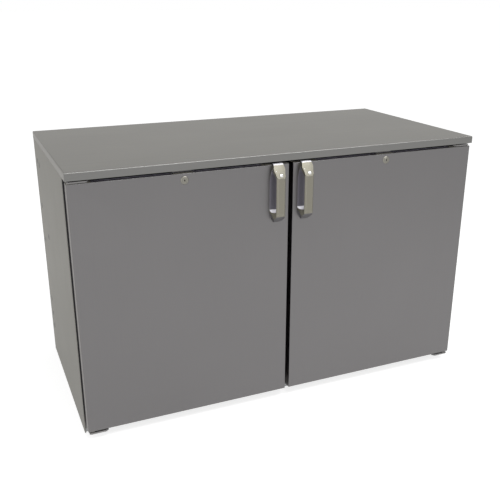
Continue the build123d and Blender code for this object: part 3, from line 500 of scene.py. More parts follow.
def worked(piece, operation, shape):
    """Cuts a shape from a piece, joins it on, or keeps only what the piece shares with it."""
    mesh = bpy.data.meshes.new("tool")
    shape.to_mesh(mesh)
    shape.free()
    tool = shown("tool", mesh)
    step = piece.modifiers.new("step", "BOOLEAN")
    step.operation = operation
    step.object = tool
    step.solver = "EXACT"
    settle(piece)
    bpy.data.objects.remove(tool)
    return piece


def repeated(piece, places):
    """Stands the piece's mesh at each place, turned about the upright axis by the angle."""
    whole = bmesh.new()
    for x, y, angle in places:
        before = len(whole.verts)
        whole.from_mesh(piece.data)
        whole.verts.ensure_lookup_table()
        stand = Matrix.Translation((x, y, 0)) @ Matrix.Rotation(math.radians(angle), 4, "Z")
        bmesh.ops.transform(whole, matrix=stand, verts=whole.verts[before:])
    whole.to_mesh(piece.data)
    whole.free()
    return settle(piece)


upright_plan = bent([
    (-UPRIGHT_HALF, 0), (-UPRIGHT_HALF, -UPRIGHT_DEPTH), (UPRIGHT_HALF, -UPRIGHT_DEPTH), (UPRIGHT_HALF, 0),
], UPRIGHT_SHEET, 0.0008)
upright_zinc = plated("upright_zinc", (0.46, 0.46, 0.45))
uprights = made(
    [prism("Z", upright_plan, UPRIGHT_FOOT, UPRIGHT_TOP)], "slotted_uprights", "cabinet", upright_zinc,
    "plated_steel", "shelf_pilasters",
)
through = (-UPRIGHT_DEPTH - PAST, -UPRIGHT_DEPTH + 0.003)
slot_heights = [SLOT_FIRST + i * SLOT_PITCH for i in range(SLOT_COUNT)]
worked(uprights, "DIFFERENCE", joined([post(0, z, SLOT_HALF_WIDE, SLOT_HALF_HIGH, *through) for z in slot_heights]))
repeated(uprights, UPRIGHT_PLACES)


# The shelf clips: zinc-plated steel strip, bent to a hook that drops into an upright's slot and
# an arm with an upturned tip that the shelf's rim lies on.

CLIP_SHEET = 0.0015
CLIP_HALF = 0.0018
SHELF_TOPS = {"lower": 0.240, "upper": 0.430}
RIM_DROP = 0.00554
CLIP_BENDS = [(-0.007, -0.006), (-0.0115, -0.006), (-0.0115, 0.0), (-0.041, 0.0), (-0.043, 0.005)]

clips = []
for top in SHELF_TOPS.values():
    section = bent([(y, top - RIM_DROP + rise) for y, rise in CLIP_BENDS], CLIP_SHEET, 0.0004, 3)
    clips.append(prism("X", section, -CLIP_HALF, CLIP_HALF))
shelf_clips = made(clips, "bent_clips", "cabinet", upright_zinc, "plated_steel", "shelf_clips")
repeated(shelf_clips, UPRIGHT_PLACES)


# The wire shelves: 5.5 mm rim wire bent to a rectangle and welded shut, two cross wires under it
# and 4 mm wires across the top, all under a thick white coat.

SHELF_OUTER = 0.551
SHELF_INNER = 0.014
SHELF_FRONT = -0.188
SHELF_BACK = 0.240
RIM_WIRE = 0.00275
TOP_WIRE = 0.0019
RIM_CORNER = 0.012
TOP_WIRES = 21
TOP_WIRE_SEAT = 0.0003
CROSS_WIRES = (-0.055, 0.095)


def wire(path, points, radius, closed=False):
    """Adds one round wire through the points to a curve."""
    spline = path.splines.new("POLY")
    spline.points.add(len(points) - 1)
    for point, place in zip(spline.points, points):
        point.co = (*place, 1.0)
        point.radius = radius
    spline.use_cyclic_u = closed


def rounded_corners(half_wide, half_high, radius, steps=6):
    """Points of a rectangle with round corners, about its middle."""
    points = []
    for quarter, (along, up) in enumerate(((1, 1), (-1, 1), (-1, -1), (1, -1))):
        for step in range(steps + 1):
            angle = math.pi / 2 * (quarter + step / steps)
            points.append((
                along * (half_wide - radius) + radius * math.cos(angle),
                up * (half_high - radius) + radius * math.sin(angle),
            ))
    return points


def as_wires(path, name, material, slot, *nodes):
    """Turns a curve of wires into a piece with a smooth round mesh."""
    path.dimensions = "3D"
    path.bevel_depth = 1.0
    path.bevel_resolution = 3
    path.use_fill_caps = True
    line = shown("wires", path)
    mesh = bpy.data.meshes.new_from_object(line.evaluated_get(bpy.context.evaluated_depsgraph_get()))
    bpy.data.objects.remove(line)
    shape = bmesh.new()
    shape.from_mesh(mesh)
    bpy.data.meshes.remove(mesh)
    return made([shape], name, "cabinet", material, slot, *nodes, crease=50)


shelf_coat = grained(
    "shelf_coat", (0.60, 0.60, 0.585), (11.0, 4.0), (0.94, 1.03), (420.0, 1.5), (1.0, 1.0), (0.22, 0.34),
    0.00005, Coat_Weight=0.4, Coat_Roughness=0.15,
)
for side, way in SIDES:
    for level, top in SHELF_TOPS.items():
        middle_x = -way * (SHELF_OUTER + SHELF_INNER) / 2
        middle_y = (SHELF_FRONT + SHELF_BACK) / 2
        rim_wide = (SHELF_OUTER - SHELF_INNER) / 2 - RIM_WIRE
        rim_deep = (SHELF_BACK - SHELF_FRONT) / 2 - RIM_WIRE
        rim_z = top - RIM_WIRE
        wires = bpy.data.curves.new("wires", "CURVE")
        rim = [(middle_x + u, middle_y + v, rim_z) for u, v in rounded_corners(rim_wide, rim_deep, RIM_CORNER)]
        wire(wires, rim, RIM_WIRE, closed=True)
        for y in CROSS_WIRES:
            wire(wires, [(middle_x - rim_wide, y, rim_z), (middle_x + rim_wide, y, rim_z)], RIM_WIRE)
        for i in range(TOP_WIRES):
            x = middle_x + rim_wide * (2 * (i + 1) / (TOP_WIRES + 1) - 1)
            z = top + TOP_WIRE - TOP_WIRE_SEAT
            wire(wires, [(x, middle_y - rim_deep, z), (x, middle_y + rim_deep, z)], TOP_WIRE)
        as_wires(wires, f"{side}_{level}_wire_shelf", shelf_coat, "coated_wire", f"{side}_{level}_shelf")


# The cooling unit's cover and tray: aluminium sheet, folded, hung under the ceiling. The fans'
# motors are shaded-pole ones on straps behind it.

dress(plated("cover_aluminium", (0.60, 0.61, 0.62), 0.4), "evaporator_housing", "drain_pan")
dress(plated("motor_zinc", (0.40, 0.40, 0.39)), "fan_motors")


# The coil: thin aluminium fins pressed on four aluminium tubes, which turn back outside the end
# plates. It hangs from the ceiling behind the fans.

COIL_HALF = 0.234
COIL_FRONT = 0.220
COIL_BACK = 0.262
COIL_FOOT = 0.584
CEILING = 0.699
FIN_PITCH = 0.0032
FIN = 0.0002
END_PLATE = 0.0015
TUBE = 0.0045
TUBE_Y = 0.240
TUBE_FOOT = 0.606
TUBE_STEP = 0.022
TUBE_LIFTS = (0.0, 2 * TUBE_STEP - 0.002)
TUBE_RUN = COIL_HALF - 0.002
BEND_REACH = 0.009

fin_count = int(2 * COIL_HALF / FIN_PITCH)
fin_places = [COIL_HALF * (2 * i / fin_count - 1) for i in range(1, fin_count)]
spans = [(-COIL_HALF, END_PLATE - COIL_HALF)] + [(x - FIN / 2, x + FIN / 2) for x in fin_places]
spans.append((COIL_HALF - END_PLATE, COIL_HALF))
fins = [block(*span, COIL_FRONT, COIL_BACK, COIL_FOOT, CEILING) for span in spans]
coil_aluminium = plated("fin_aluminium", (0.62, 0.63, 0.64), 0.3)
made(fins, "finned_coil", "cabinet", coil_aluminium, "fin_aluminium", "evaporator_coil")
tubes = bpy.data.curves.new("tubes", "CURVE")
for lift in TUBE_LIFTS:
    loop = []
    for end in (1, -1):
        for step in range(9):
            angle = math.pi * (step / 8 - 0.5)
            reach = TUBE_RUN + BEND_REACH * math.cos(angle)
            rise = TUBE_STEP / 2 * (1 + end * math.sin(angle))
            loop.append((end * reach, TUBE_Y, TUBE_FOOT + lift + rise))
    wire(tubes, loop, TUBE, closed=True)
as_wires(tubes, "coil_tubes", coil_aluminium, "fin_aluminium")


# The fans: five moulded blades cupped round a domed hub, in black plastic. The right fan is the
# left one's mirror image.

FAN_X = 0.125
FAN_Z = 0.638
FAN_FRONT = 0.170
FAN_DEEP = 0.014
HUB_RADIUS = 0.012
BLADE_TIP = 0.0465
BLADE_COUNT = 5
BLADE_SHEET = 0.0013
BLADE_SPREAD = math.radians(27)
BLADE_FLARE = math.radians(6)
BLADE_SWEEP = math.radians(16)
BLADE_MIDDLE = 0.0070
BLADE_PITCH = 0.0100
BLADE_CUP = 0.0016
BLADE_ROOT = HUB_RADIUS - 0.001
TIP_ROUND = 0.45
TIP_START = 0.7
FAN_CREASE = 50
HUB_PROFILE = [
    (0.0027, 0.0), (0.0118, 0.0), (0.0120, 0.0008), (0.0120, 0.0095), (0.0113, 0.0116),
    (0.0090, 0.0131), (0.0055, 0.0138), (0.0, 0.0140),
]


def fan_blades(centre):
    """Cupped sheets round the hub, each swept back and rounded off at its tip."""
    shape = bmesh.new()
    across, out = 12, 10
    for blade in range(BLADE_COUNT):
        rows = []
        for i in range(out + 1):
            far = i / out
            radius = BLADE_ROOT + far * (BLADE_TIP - BLADE_ROOT)
            rounding = TIP_ROUND * (max(0.0, far - TIP_START) / (1 - TIP_START)) ** 2
            half_angle = (BLADE_SPREAD + BLADE_FLARE * far) * (1 - rounding)
            row = []
            for j in range(across + 1):
                u = j / across
                angle = 2 * math.pi * blade / BLADE_COUNT + BLADE_SWEEP * far + half_angle * (2 * u - 1)
                pitch = BLADE_PITCH * (u - 0.5) * (1 - 0.25 * far)
                deep = BLADE_MIDDLE + pitch + BLADE_CUP * math.sin(math.pi * u)
                row.append(shape.verts.new((
                    centre + radius * math.cos(angle), FAN_FRONT + deep, FAN_Z + radius * math.sin(angle))))
            rows.append(row)
        for low, high in zip(rows, rows[1:]):
            for j in range(across):
                shape.faces.new((low[j], low[j + 1], high[j + 1], high[j]))
    bmesh.ops.recalc_face_normals(shape, faces=shape.faces)
    return shape


def added(piece, shape, crease=35):
    """Puts a shape into a piece as it is, without cutting either."""
    shape.from_mesh(piece.data)
    shape.to_mesh(piece.data)
    shape.free()
    return settle(piece, crease)


fan_plastic = moulded("fan_plastic", (0.011, 0.011, 0.012), 0.45)
for side, way in SIDES:
    wheel = made(
        [fan_blades(-FAN_X)], side + "_fan_wheel", side + "_fan", fan_plastic, "black_plastic",
        side + "_fan_blade",
    )
    thickened(wheel, BLADE_SHEET, even=False, offset=0.0, crease=FAN_CREASE)
    added(wheel, lathe(HUB_PROFILE, (-FAN_X, FAN_FRONT + FAN_DEEP, FAN_Z), (0, -1, 0)), FAN_CREASE)
    on_side(wheel, way, FAN_CREASE)


# The finger guards before the fans: black coated wire, welded into a square with level bars and
# two uprights behind them.

GUARD_HALF = 0.057
GUARD_RIM = 0.0025
GUARD_BAR = 0.0012
GUARD_BARS = 11
GUARD_CORNER = 0.008
GUARD_STAYS = (-0.019, 0.019)
STAY_BEHIND = 0.0012
BAR_AHEAD = 0.0004
EVAP_FRONT = 0.165

guard_wires = bpy.data.curves.new("guards", "CURVE")
for x in (-FAN_X, FAN_X):
    reach = GUARD_HALF - GUARD_RIM
    y = EVAP_FRONT - GUARD_RIM
    rim = [(x + u, y, FAN_Z + v) for u, v in rounded_corners(reach, reach, GUARD_CORNER)]
    wire(guard_wires, rim, GUARD_RIM, closed=True)
    for i in range(GUARD_BARS):
        z = FAN_Z + reach * (2 * (i + 1) / (GUARD_BARS + 1) - 1)
        wire(guard_wires, [(x - reach, y - BAR_AHEAD, z), (x + reach, y - BAR_AHEAD, z)], GUARD_BAR)
    for u in GUARD_STAYS:
        wire(guard_wires, [(x + u, y + STAY_BEHIND, FAN_Z + v) for v in (-reach, reach)], GUARD_BAR)
as_wires(guard_wires, "finger_guards", fan_plastic, "black_plastic", "fan_guards")


# The thermostat: a white moulded box between the fans, with a scale of ticks round a fluted grey
# knob that has a raised pointer.

BOX_HALF = 0.032
BOX_HIGH = 0.034
BOX_DEEP = 0.022
KNOB_BACK = 0.1426
KNOB_PROFILE = [
    (0.0, 0.0), (0.0148, 0.0), (0.0152, 0.0006), (0.0148, 0.0095), (0.0143, 0.0128),
    (0.0130, 0.0144), (0.0105, 0.0146), (0.0, 0.0138),
]
POINTER = [(-0.0016, -0.0100), (0.0016, -0.0100), (0.0016, 0.0085), (0.0, 0.0120), (-0.0016, 0.0085)]
POINTER_DEPTHS = (KNOB_BACK - 0.0152, KNOB_BACK - 0.0125)
FLUTES = 18
FLUTE_REACH = 0.0125
FLUTE_DEEP = 0.0007
TICKS = 11
TICK_INNER = 0.0175
TICK_OUTER = 0.0215
TICK_LONGER = 0.0018
TICK_WIDE = 0.0009
TICK_ARC = math.radians(135)


def ray(angle, inner, outer, width, y_front, y_back):
    """A narrow bar pointing away from the knob's axis, at an angle from upright."""
    along = Vector((math.sin(angle), math.cos(angle)))
    across = Vector((along.y, -along.x)) * width / 2
    centre = Vector((0, FAN_Z))
    outline = [
        centre + along * inner - across, centre + along * outer - across,
        centre + along * outer + across, centre + along * inner + across,
    ]
    return prism("Y", [tuple(point) for point in outline], y_front, y_back)


def rounded(piece, width, segments=3, angle=30, crease=35, edge_material=None):
    """Rounds the edges of a piece that are sharper than the angle, in a material of their own if given (on the
    handles, a pale painted highlight).
    """
    bevel = piece.modifiers.new("rounding", "BEVEL")
    if edge_material is not None:
        piece.data.materials.append(edge_material)
        bevel.material = len(piece.data.materials) - 1
    bevel.width = width
    bevel.segments = segments
    bevel.limit_method = "ANGLE"
    bevel.angle_limit = math.radians(angle)
    return settle(piece, crease)


white_plastic = moulded("white_plastic", (0.70, 0.69, 0.66), 0.35, depth=0.00003)
box_front = EVAP_FRONT - BOX_DEEP
body = made(
    [post(0, FAN_Z, BOX_HALF, BOX_HIGH, box_front, EVAP_FRONT)], "thermostat_box", "cabinet", white_plastic,
    "white_plastic", "thermostat_body",
)
rounded(body, 0.0028, 4)
ticks = []
for i in range(TICKS):
    angle = TICK_ARC * (2 * i / (TICKS - 1) - 1)
    outer = TICK_OUTER + (TICK_LONGER if i % 5 == 0 else 0.0)
    ticks.append(ray(angle, TICK_INNER, outer, TICK_WIDE, box_front - 0.00025, box_front + 0.0005))
made(ticks, "thermostat_scale", "cabinet", moulded("scale_ink", (0.030, 0.030, 0.034), 0.5), "black_plastic")
knob = lathe(KNOB_PROFILE, (0, KNOB_BACK, FAN_Z), (0, -1, 0), count=FLUTES * 8)
for vert in knob.verts:
    reach = math.hypot(vert.co.x, vert.co.z - FAN_Z)
    if reach > FLUTE_REACH:
        turn = math.atan2(vert.co.z - FAN_Z, vert.co.x)
        dip = FLUTE_DEEP * max(0.0, math.cos(FLUTES * turn)) ** 0.5
        vert.co.x *= 1 - dip / reach
        vert.co.z = FAN_Z + (vert.co.z - FAN_Z) * (1 - dip / reach)
knob_plastic = moulded("knob_plastic", (0.09, 0.09, 0.095), 0.45)
made([knob], "fluted_knob", "thermostat", knob_plastic, "grey_plastic", "thermostat_knob", crease=50)
pointer = [(x, FAN_Z + rise) for x, rise in POINTER]
ridge = made(
    [prism("Y", pointer, *POINTER_DEPTHS)], "knob_pointer", "thermostat", white_plastic, "white_plastic")
rounded(ridge, 0.0004, 2)


# The lamp under the ceiling behind the header: a milky lens clipped into a white channel, with a
# switch box at its left end and a black rocker in it.

LAMP_LEFT = -0.380
LAMP_RIGHT = 0.400
LENS_END = 0.004
LENS_SECTION = [
    (-0.1945, 0.6995), (-0.1945, 0.6925), (-0.1932, 0.6905), (-0.1905, 0.6888), (-0.1870, 0.6880),
    (-0.1810, 0.6880), (-0.1775, 0.6888), (-0.1748, 0.6905), (-0.1735, 0.6925), (-0.1735, 0.6995),
]
CHANNEL_SECTION = [(-0.196, 0.6999), (-0.196, 0.6935), (-0.172, 0.6935), (-0.172, 0.6999)]
ROCKER_SECTION = [
    (-0.2004, 0.6837), (-0.1998, 0.6850), (-0.1994, 0.6875), (-0.1993, 0.6890), (-0.1994, 0.6905),
    (-0.1998, 0.6930), (-0.2004, 0.6943), (-0.1940, 0.6944), (-0.1900, 0.6920), (-0.1900, 0.6860),
    (-0.1940, 0.6836),
]
ROCKER_ENDS = (-0.415, -0.395)
SWITCH_BOX = (-0.430, LAMP_LEFT, -0.198, -0.168, 0.678, 0.6999)
SWITCH_HOLE = (-0.416, -0.394, -0.199, -0.186, 0.6826, 0.6954)

lens_plastic = moulded(
    "lens_plastic", (0.74, 0.74, 0.72), 0.25, grain=0.0012, depth=0.00002,
    Subsurface_Weight=0.25, Subsurface_Radius=(0.004, 0.004, 0.004),
)
made(
    [prism("X", LENS_SECTION, LAMP_LEFT + LENS_END, LAMP_RIGHT - LENS_END)], "lamp_lens", "cabinet", lens_plastic,
    "white_plastic",
)
ends = [
    prism("X", LENS_SECTION, LAMP_LEFT, LAMP_LEFT + LENS_END),
    prism("X", LENS_SECTION, LAMP_RIGHT - LENS_END, LAMP_RIGHT),
    prism("X", CHANNEL_SECTION, LAMP_LEFT, LAMP_RIGHT),
]
switch_box = made([block(*SWITCH_BOX)], "lamp_housing", "cabinet", white_plastic, "white_plastic", "light_bar")
rounded(switch_box, 0.0018, 3)
worked(switch_box, "DIFFERENCE", block(*SWITCH_HOLE))
added(switch_box, joined(ends))
rocker_plastic = moulded("rocker_plastic", (0.012, 0.012, 0.013), 0.3)
rocker = made(
    [prism("X", ROCKER_SECTION, *ROCKER_ENDS)], "rocker", "switch", rocker_plastic, "black_plastic", "light_switch")
rounded(rocker, 0.0003, 2)


# The doors: trays folded from the casing's satin sheet, brushed upright, with an open channel
# along the top. Everything on the left door is built, then mirrored for the right one.

DOOR_FRONT = -0.288
PAN_BACK = -0.263
DOOR_OUTER = 0.606
DOOR_INNER = 0.0065
DOOR_BOTTOM = 0.029
DOOR_TOP = 0.732
CHANNEL_FLOOR = 0.720
CHANNEL_FRONT = -0.285
PAN_SHEET = 0.001
PAN_EDGE = 0.0016
LOCK_X = 0.3062
LOCK_Z = 0.714
LOCK_MOUTH = ((-LOCK_X, DOOR_FRONT, LOCK_Z), (0, -1, 0))
LOCK_HOLE = 0.0064
LOCK_ROOM = 0.030


def lock_drill(radius, deep, proud):
    """A round cutter on the lock's axis, from deep inside the door to proud of its front."""
    return lathe([(0.0, -deep), (radius, -deep), (radius, proud), (0.0, proud)], *LOCK_MOUTH)


def door_tray():
    """The front with its four rounded edges, the sides and the bottom, and a lip at the top."""
    shell = block(-DOOR_OUTER, -DOOR_INNER, DOOR_FRONT, PAN_BACK, DOOR_BOTTOM, DOOR_TOP)
    front = [edge for edge in shell.edges if all(vert.co.y < DOOR_FRONT + 1e-5 for vert in edge.verts)]
    bmesh.ops.bevel(shell, geom=front, offset=PAN_EDGE, segments=5, profile=0.5, affect="EDGES")
    whole = shell.verts[:] + shell.edges[:] + shell.faces[:]
    bmesh.ops.bisect_plane(shell, geom=whole, plane_co=(0, CHANNEL_FRONT, 0), plane_no=(0, 1, 0))
    open_faces = []
    for face in shell.faces:
        middle = face.calc_center_median()
        if middle.y > PAN_BACK - 1e-5 or (middle.z > DOOR_TOP - 1e-5 and middle.y > CHANNEL_FRONT):
            open_faces.append(face)
    bmesh.ops.delete(shell, geom=open_faces, context="FACES")
    return shell


channel_section = bent([
    (PAN_BACK - PAN_SHEET, DOOR_TOP - 0.0004), (PAN_BACK - PAN_SHEET, CHANNEL_FLOOR),
    (CHANNEL_FRONT, CHANNEL_FLOOR), (CHANNEL_FRONT, DOOR_TOP - 0.0008),
], PAN_SHEET, 0.0008)
# the doors take the darker front copy of the sheet: painted shade
door_steel = brushed_sheet("door_steel", SHADED_FRONT_STEEL, "Z")
# painted shade and light: the channel is a violet, half-metallic grey, lighter than the door steel, so its shaded
# inside reads dim violet
channel_steel_painted_shade = plated("channel_steel_painted_shade", (0.31, 0.30, 0.36), 0.5, 0.5)
for side, way in SIDES:
    pan = made(
        [door_tray()], side + "_folded_pan", side + "_door", door_steel, "satin_stainless", side + "_door_pan")
    thickened(pan, PAN_SHEET)
    worked(pan, "DIFFERENCE", lock_drill(LOCK_HOLE, 3 * PAN_SHEET, PAST))
    channel = made(
        [prism("X", channel_section, -DOOR_OUTER + PAN_SHEET, -DOOR_INNER - PAN_SHEET)], side + "_door_channel",
        side + "_door", channel_steel_painted_shade, "satin_stainless",
    )
    worked(channel, "DIFFERENCE", block(
        -LOCK_X - LOCK_ROOM, -LOCK_X + LOCK_ROOM, CHANNEL_FRONT, PAN_BACK - PAN_SHEET, 0.715, 0.7205))
    on_side(channel, way)
    rounded(pan, 0.00025, 2, angle=60)
    on_side(pan, way)


# In the channel's ends: zinc-plated stiffeners for the hinge, the handle and the lock, and nylon
# bushes that run on the hinge pins.

# painted light: the stiffeners are pale beige and nearly non-metallic, so they read lit under the worktop's shadow
stiffener_zinc_painted_light = plated("stiffener_zinc_painted_light", (0.74, 0.72, 0.63), 0.4, 0.1)
bush_nylon = moulded("bush_nylon", (0.52, 0.51, 0.47), 0.4)
for side, way in SIDES:
    dress(stiffener_zinc_painted_light, side + "_door_plates")
    dress(bush_nylon, side + "_door_bushes")


# The back of each door: a dark plastic frame, a black magnetic gasket pressed into its groove,
# and an inner panel drawn from white coated sheet into a shallow raised dish.

FRAME_BACK = -0.257
GASKET_LEFT = -0.5885
GASKET_RIGHT = -0.0095
GASKET_LOW = 0.045
GASKET_HIGH = 0.722
PANEL_SHEET = 0.0008
DISH_PROFILE = [
    (0.0190, FRAME_BACK, 0.0020), (0.0190, FRAME_BACK + 0.0010, 0.0020), (0.0232, FRAME_BACK + 0.0010, 0.0080),
    (0.0243, FRAME_BACK + 0.0012, 0.0120), (0.0251, FRAME_BACK + 0.0019, 0.0150),
    (0.0258, FRAME_BACK + 0.0040, 0.0160), (0.0266, FRAME_BACK + 0.0062, 0.0165),
    (0.0275, FRAME_BACK + 0.0074, 0.0170), (0.0290, FRAME_BACK + 0.0080, 0.0180),
    (0.0560, FRAME_BACK + 0.0080, 0.0300), (0.0570, FRAME_BACK + 0.0078, 0.0305),
    (0.0590, FRAME_BACK + 0.0066, 0.0310), (0.0600, FRAME_BACK + 0.0064, 0.0320),
]


def ring_loft(profile, left, right, low, high):
    """Rings of a rectangle with round corners, each with its inset, depth and corner radius."""
    shape = bmesh.new()
    rings = []
    for inset, y, corner in profile:
        outline = rounded_corners((right - left) / 2 - inset, (high - low) / 2 - inset, corner, 8)
        rings.append([shape.verts.new(((left + right) / 2 + u, y, (low + high) / 2 + v)) for u, v in outline])
    shape.faces.new(rings[-1])
    return walled(shape, rings)


# black plastic, with a violet, lifted tone copied from the shade in the gap beside the door: partly painted shade
frame_plastic_and_gap_shade = moulded("frame_plastic_and_gap_shade", (0.034, 0.032, 0.038), 0.5)
panel_coat = moulded("panel_coat", (0.70, 0.70, 0.68), 0.42, grain=0.0018, depth=0.00001, uneven=0.01)
vinyl = grained(
    "gasket_vinyl", (0.018, 0.018, 0.019), (35.0, 5.0), (0.8, 1.5), (2200.0, 2.0), (1.0, 1.0), (0.5, 0.68), 0.00003)
for side, way in SIDES:
    dress(frame_plastic_and_gap_shade, side + "_door_frame")
    dress(vinyl, side + "_door_gasket")
    panel = made(
        [ring_loft(DISH_PROFILE, GASKET_LEFT, GASKET_RIGHT, GASKET_LOW, GASKET_HIGH)],
        side + "_pressed_panel", side + "_door", panel_coat, "coated_liner", side + "_door_inner_panel",
    )
    thickened(panel, PANEL_SHEET, even=False)
    on_side(panel, way)


# The handles: zinc castings with a satin plated skin. A pointed back plate, a flat grip and a
# slanting strap are one piece, which hooks over the door's front edge at the top.

HANDLE_X = -0.0427
HANDLE_HALF = 0.023
GRIP_FRONT = -0.318
FOOT = 0.5694
HOOK_BACK = -0.278
HOOK_TOP = 0.735
STRAP_HALF = 0.014
LEDGE = (0.600, 0.612)
WAIST = 0.600
NECK = 0.691
HANDLE_SIDE = [
    (DOOR_FRONT, FOOT), (-0.2895, FOOT), (-0.3165, 0.591), (GRIP_FRONT, 0.598), (GRIP_FRONT, 0.699),
    (-0.297, 0.7325), (-0.2945, HOOK_TOP), (DOOR_FRONT, HOOK_TOP),
]
HANDLE_FACE = [
    (0.010, FOOT - PAST), (HANDLE_HALF, WAIST), (HANDLE_HALF, NECK), (STRAP_HALF, HOOK_TOP + PAST),
]
HANDLE_PLAN = [
    (HANDLE_HALF, DOOR_FRONT + PAST), (HANDLE_HALF, -0.2895), (0.0133, -0.312), (0.0133, -0.315),
    (0.0093, GRIP_FRONT),
]
FINGER_GAP = [(-0.290, 0.599), (-0.313, 0.603), (-0.313, 0.696), (-0.293, 0.726), (-0.290, 0.706)]
GAP_ROUND = [0.009, 0.003, 0.003, 0.003, 0.004]
HOOK = [
    (-0.289, DOOR_TOP), (HOOK_BACK, DOOR_TOP), (HOOK_BACK, HOOK_TOP - 0.0012), (HOOK_BACK - 0.0012, HOOK_TOP),
    (-0.289, HOOK_TOP),
]


def evened(half):
    """A whole outline about the handle's middle, from its right half."""
    return [(HANDLE_X + u, v) for u, v in half] + [(HANDLE_X - u, v) for u, v in half[::-1]]


def eased(outline, radii, steps=12):
    """A closed outline with each corner rounded to its radius."""
    points = []
    for i, radius in enumerate(radii):
        corner = Vector(outline[i])
        back = (Vector(outline[i - 1]) - corner).normalized()
        ahead = (Vector(outline[(i + 1) % len(outline)]) - corner).normalized()
        half = math.acos(max(-1.0, min(1.0, back.dot(ahead)))) / 2
        centre = corner + (back + ahead).normalized() * (radius / math.sin(half))
        start = corner + back * (radius / math.tan(half)) - centre
        end = corner + ahead * (radius / math.tan(half)) - centre
        sweep = start.angle_signed(end)
        for step in range(steps + 1):
            spoke = start.copy()
            spoke.rotate(Matrix.Rotation(-sweep * step / steps, 2))
            points.append(tuple(centre + spoke))
    return points


def satin_casting(name, tone, metallic=1.0):
    return grained(
        name, tone, (130.0, 2.0), (0.985, 1.015), (2600.0, 2.0, 0.5, (1.0, 1.0, 0.2)), (0.985, 1.015),
        (0.46, 0.52), 0.000006, Metallic=metallic,
    )


def finished_faces(piece, material, chosen):
    """Gives the chosen faces of a piece a finish of their own."""
    piece.data.materials.append(material)
    index = len(piece.data.materials) - 1
    for face in piece.data.polygons:
        if chosen(face.center, face.normal):
            face.material_index = index


def on_ledge(place, facing):
    """The floor of the finger gap and the hook's top, which are painted near-white as a highlight."""
    return LEDGE[0] < place.z < LEDGE[1] and facing.z > 0.35 or facing.z > 0.6 and place.z > HOOK_TOP - 0.0018


def in_gap(place, facing):
    """The inner faces of the finger gap, which get a violet copy of the casting as painted shade."""
    inside = 0.601 < place.z < 0.730 and place.y > -0.3132
    return inside and (facing.y < -0.5 and place.y > -0.2945 or facing.y > 0.3) and facing.z < 0.1


def on_foot(place, facing):
    """The pointed foot's facets and the edge of the back plate, which get a slightly lighter, violet copy of the
    casting as painted shading.
    """
    return place.z < 0.601 and (facing.z < -0.35 or abs(facing.x) > 0.3) or place.y > -0.2915 and abs(facing.z) < 0.5


casting = satin_casting("handle_casting", (0.226, 0.215, 0.178))
# painted highlight: a pale copy of the casting on the rounded edges, standing in for light along them
edge_highlight_casting = satin_casting("edge_highlight_casting", (0.72, 0.71, 0.67))
# painted shading: a slightly lighter, violet copy of the casting for faces that point down or sideways
facet_shade_casting = satin_casting("facet_shade_casting", (0.250, 0.245, 0.255))
# painted highlight: a near-white, nearly non-metallic copy of the casting for the ledge and the hook's top
ledge_highlight_casting = satin_casting("ledge_highlight_casting", (0.88, 0.87, 0.92), 0.1)
# painted shade: a violet copy of the casting for the inside of the finger gap
pocket_shade_casting = satin_casting("pocket_shade_casting", (0.225, 0.216, 0.246))
for side, way in SIDES:
    reach = HANDLE_HALF + PAST
    grip = made(
        [prism("X", HANDLE_SIDE, HANDLE_X - reach, HANDLE_X + reach)], side + "_cast_handle", side + "_door",
        casting, "cast_metal", side + "_handle",
    )
    worked(grip, "INTERSECT", prism("Y", evened(HANDLE_FACE), GRIP_FRONT - PAST, DOOR_FRONT + PAST))
    worked(grip, "INTERSECT", prism("Z", evened(HANDLE_PLAN), FOOT - PAST, HOOK_TOP + PAST))
    finger_gap = eased(FINGER_GAP, GAP_ROUND)
    worked(grip, "DIFFERENCE", prism("X", finger_gap, HANDLE_X - reach - PAST, HANDLE_X + reach + PAST))
    worked(grip, "UNION", prism("X", HOOK, HANDLE_X - STRAP_HALF, HANDLE_X + STRAP_HALF))
    rounded(grip, 0.0009, 3, angle=10, crease=30, edge_material=edge_highlight_casting)
    # the foot, the ledge and the gap take the painted shading, highlight and shade copies of the casting
    finished_faces(grip, facet_shade_casting, on_foot)
    finished_faces(grip, ledge_highlight_casting, on_ledge)
    finished_faces(grip, pocket_shade_casting, in_gap)
    on_side(grip, way)


# In each strap: one bright domed screw with a socket, which holds the handle, and a small pin
# that keeps it from turning.

SCREW_SHIFT = 0.0015
SCREW_Z = 0.7065
PIN_SHIFT = -0.0106
PIN_Z = 0.717
STRAP_RUN = 0.021
STRAP_RISE = 0.034
SCREW_PROFILE = [
    (0.0, 0.0009), (0.0014, 0.0009), (0.0015, 0.0021), (0.0022, 0.00215), (0.0034, 0.0019),
    (0.0045, 0.0014), (0.0052, 0.0007), (0.0054, 0.0), (0.0054, -0.0003), (0.0, -0.0003),
]
PIN_PROFILE = [(0.0, 0.0008), (0.0009, 0.0007), (0.0014, 0.0003), (0.0015, 0.0), (0.0, -0.0002)]


def on_strap(x, z):
    """A point on the strap's slanting front, and the way that it faces."""
    y = GRIP_FRONT + (z - 0.699) * STRAP_RUN / STRAP_RISE
    return (x, y, z), (0, -STRAP_RISE, STRAP_RUN)


bright_steel = plated("bright_steel", (0.74, 0.74, 0.73), 0.2)
for side, way in SIDES:
    place = HANDLE_X + way * SCREW_SHIFT
    heads = [lathe(SCREW_PROFILE, *on_strap(place, SCREW_Z))]
    heads.append(lathe(PIN_PROFILE, *on_strap(HANDLE_X + way * PIN_SHIFT, PIN_Z), count=20))
    on_side(made(
        heads, side + "_strap_screws", side + "_door", bright_steel, "bright_screw", side + "_handle_screws",
        crease=50,
    ), way)


# The locks: nickel-plated bodies with a bevelled bezel, held by a nut behind the sheet, a turning
# plug with its key slot, and a flat steel cam on the plug's tail.

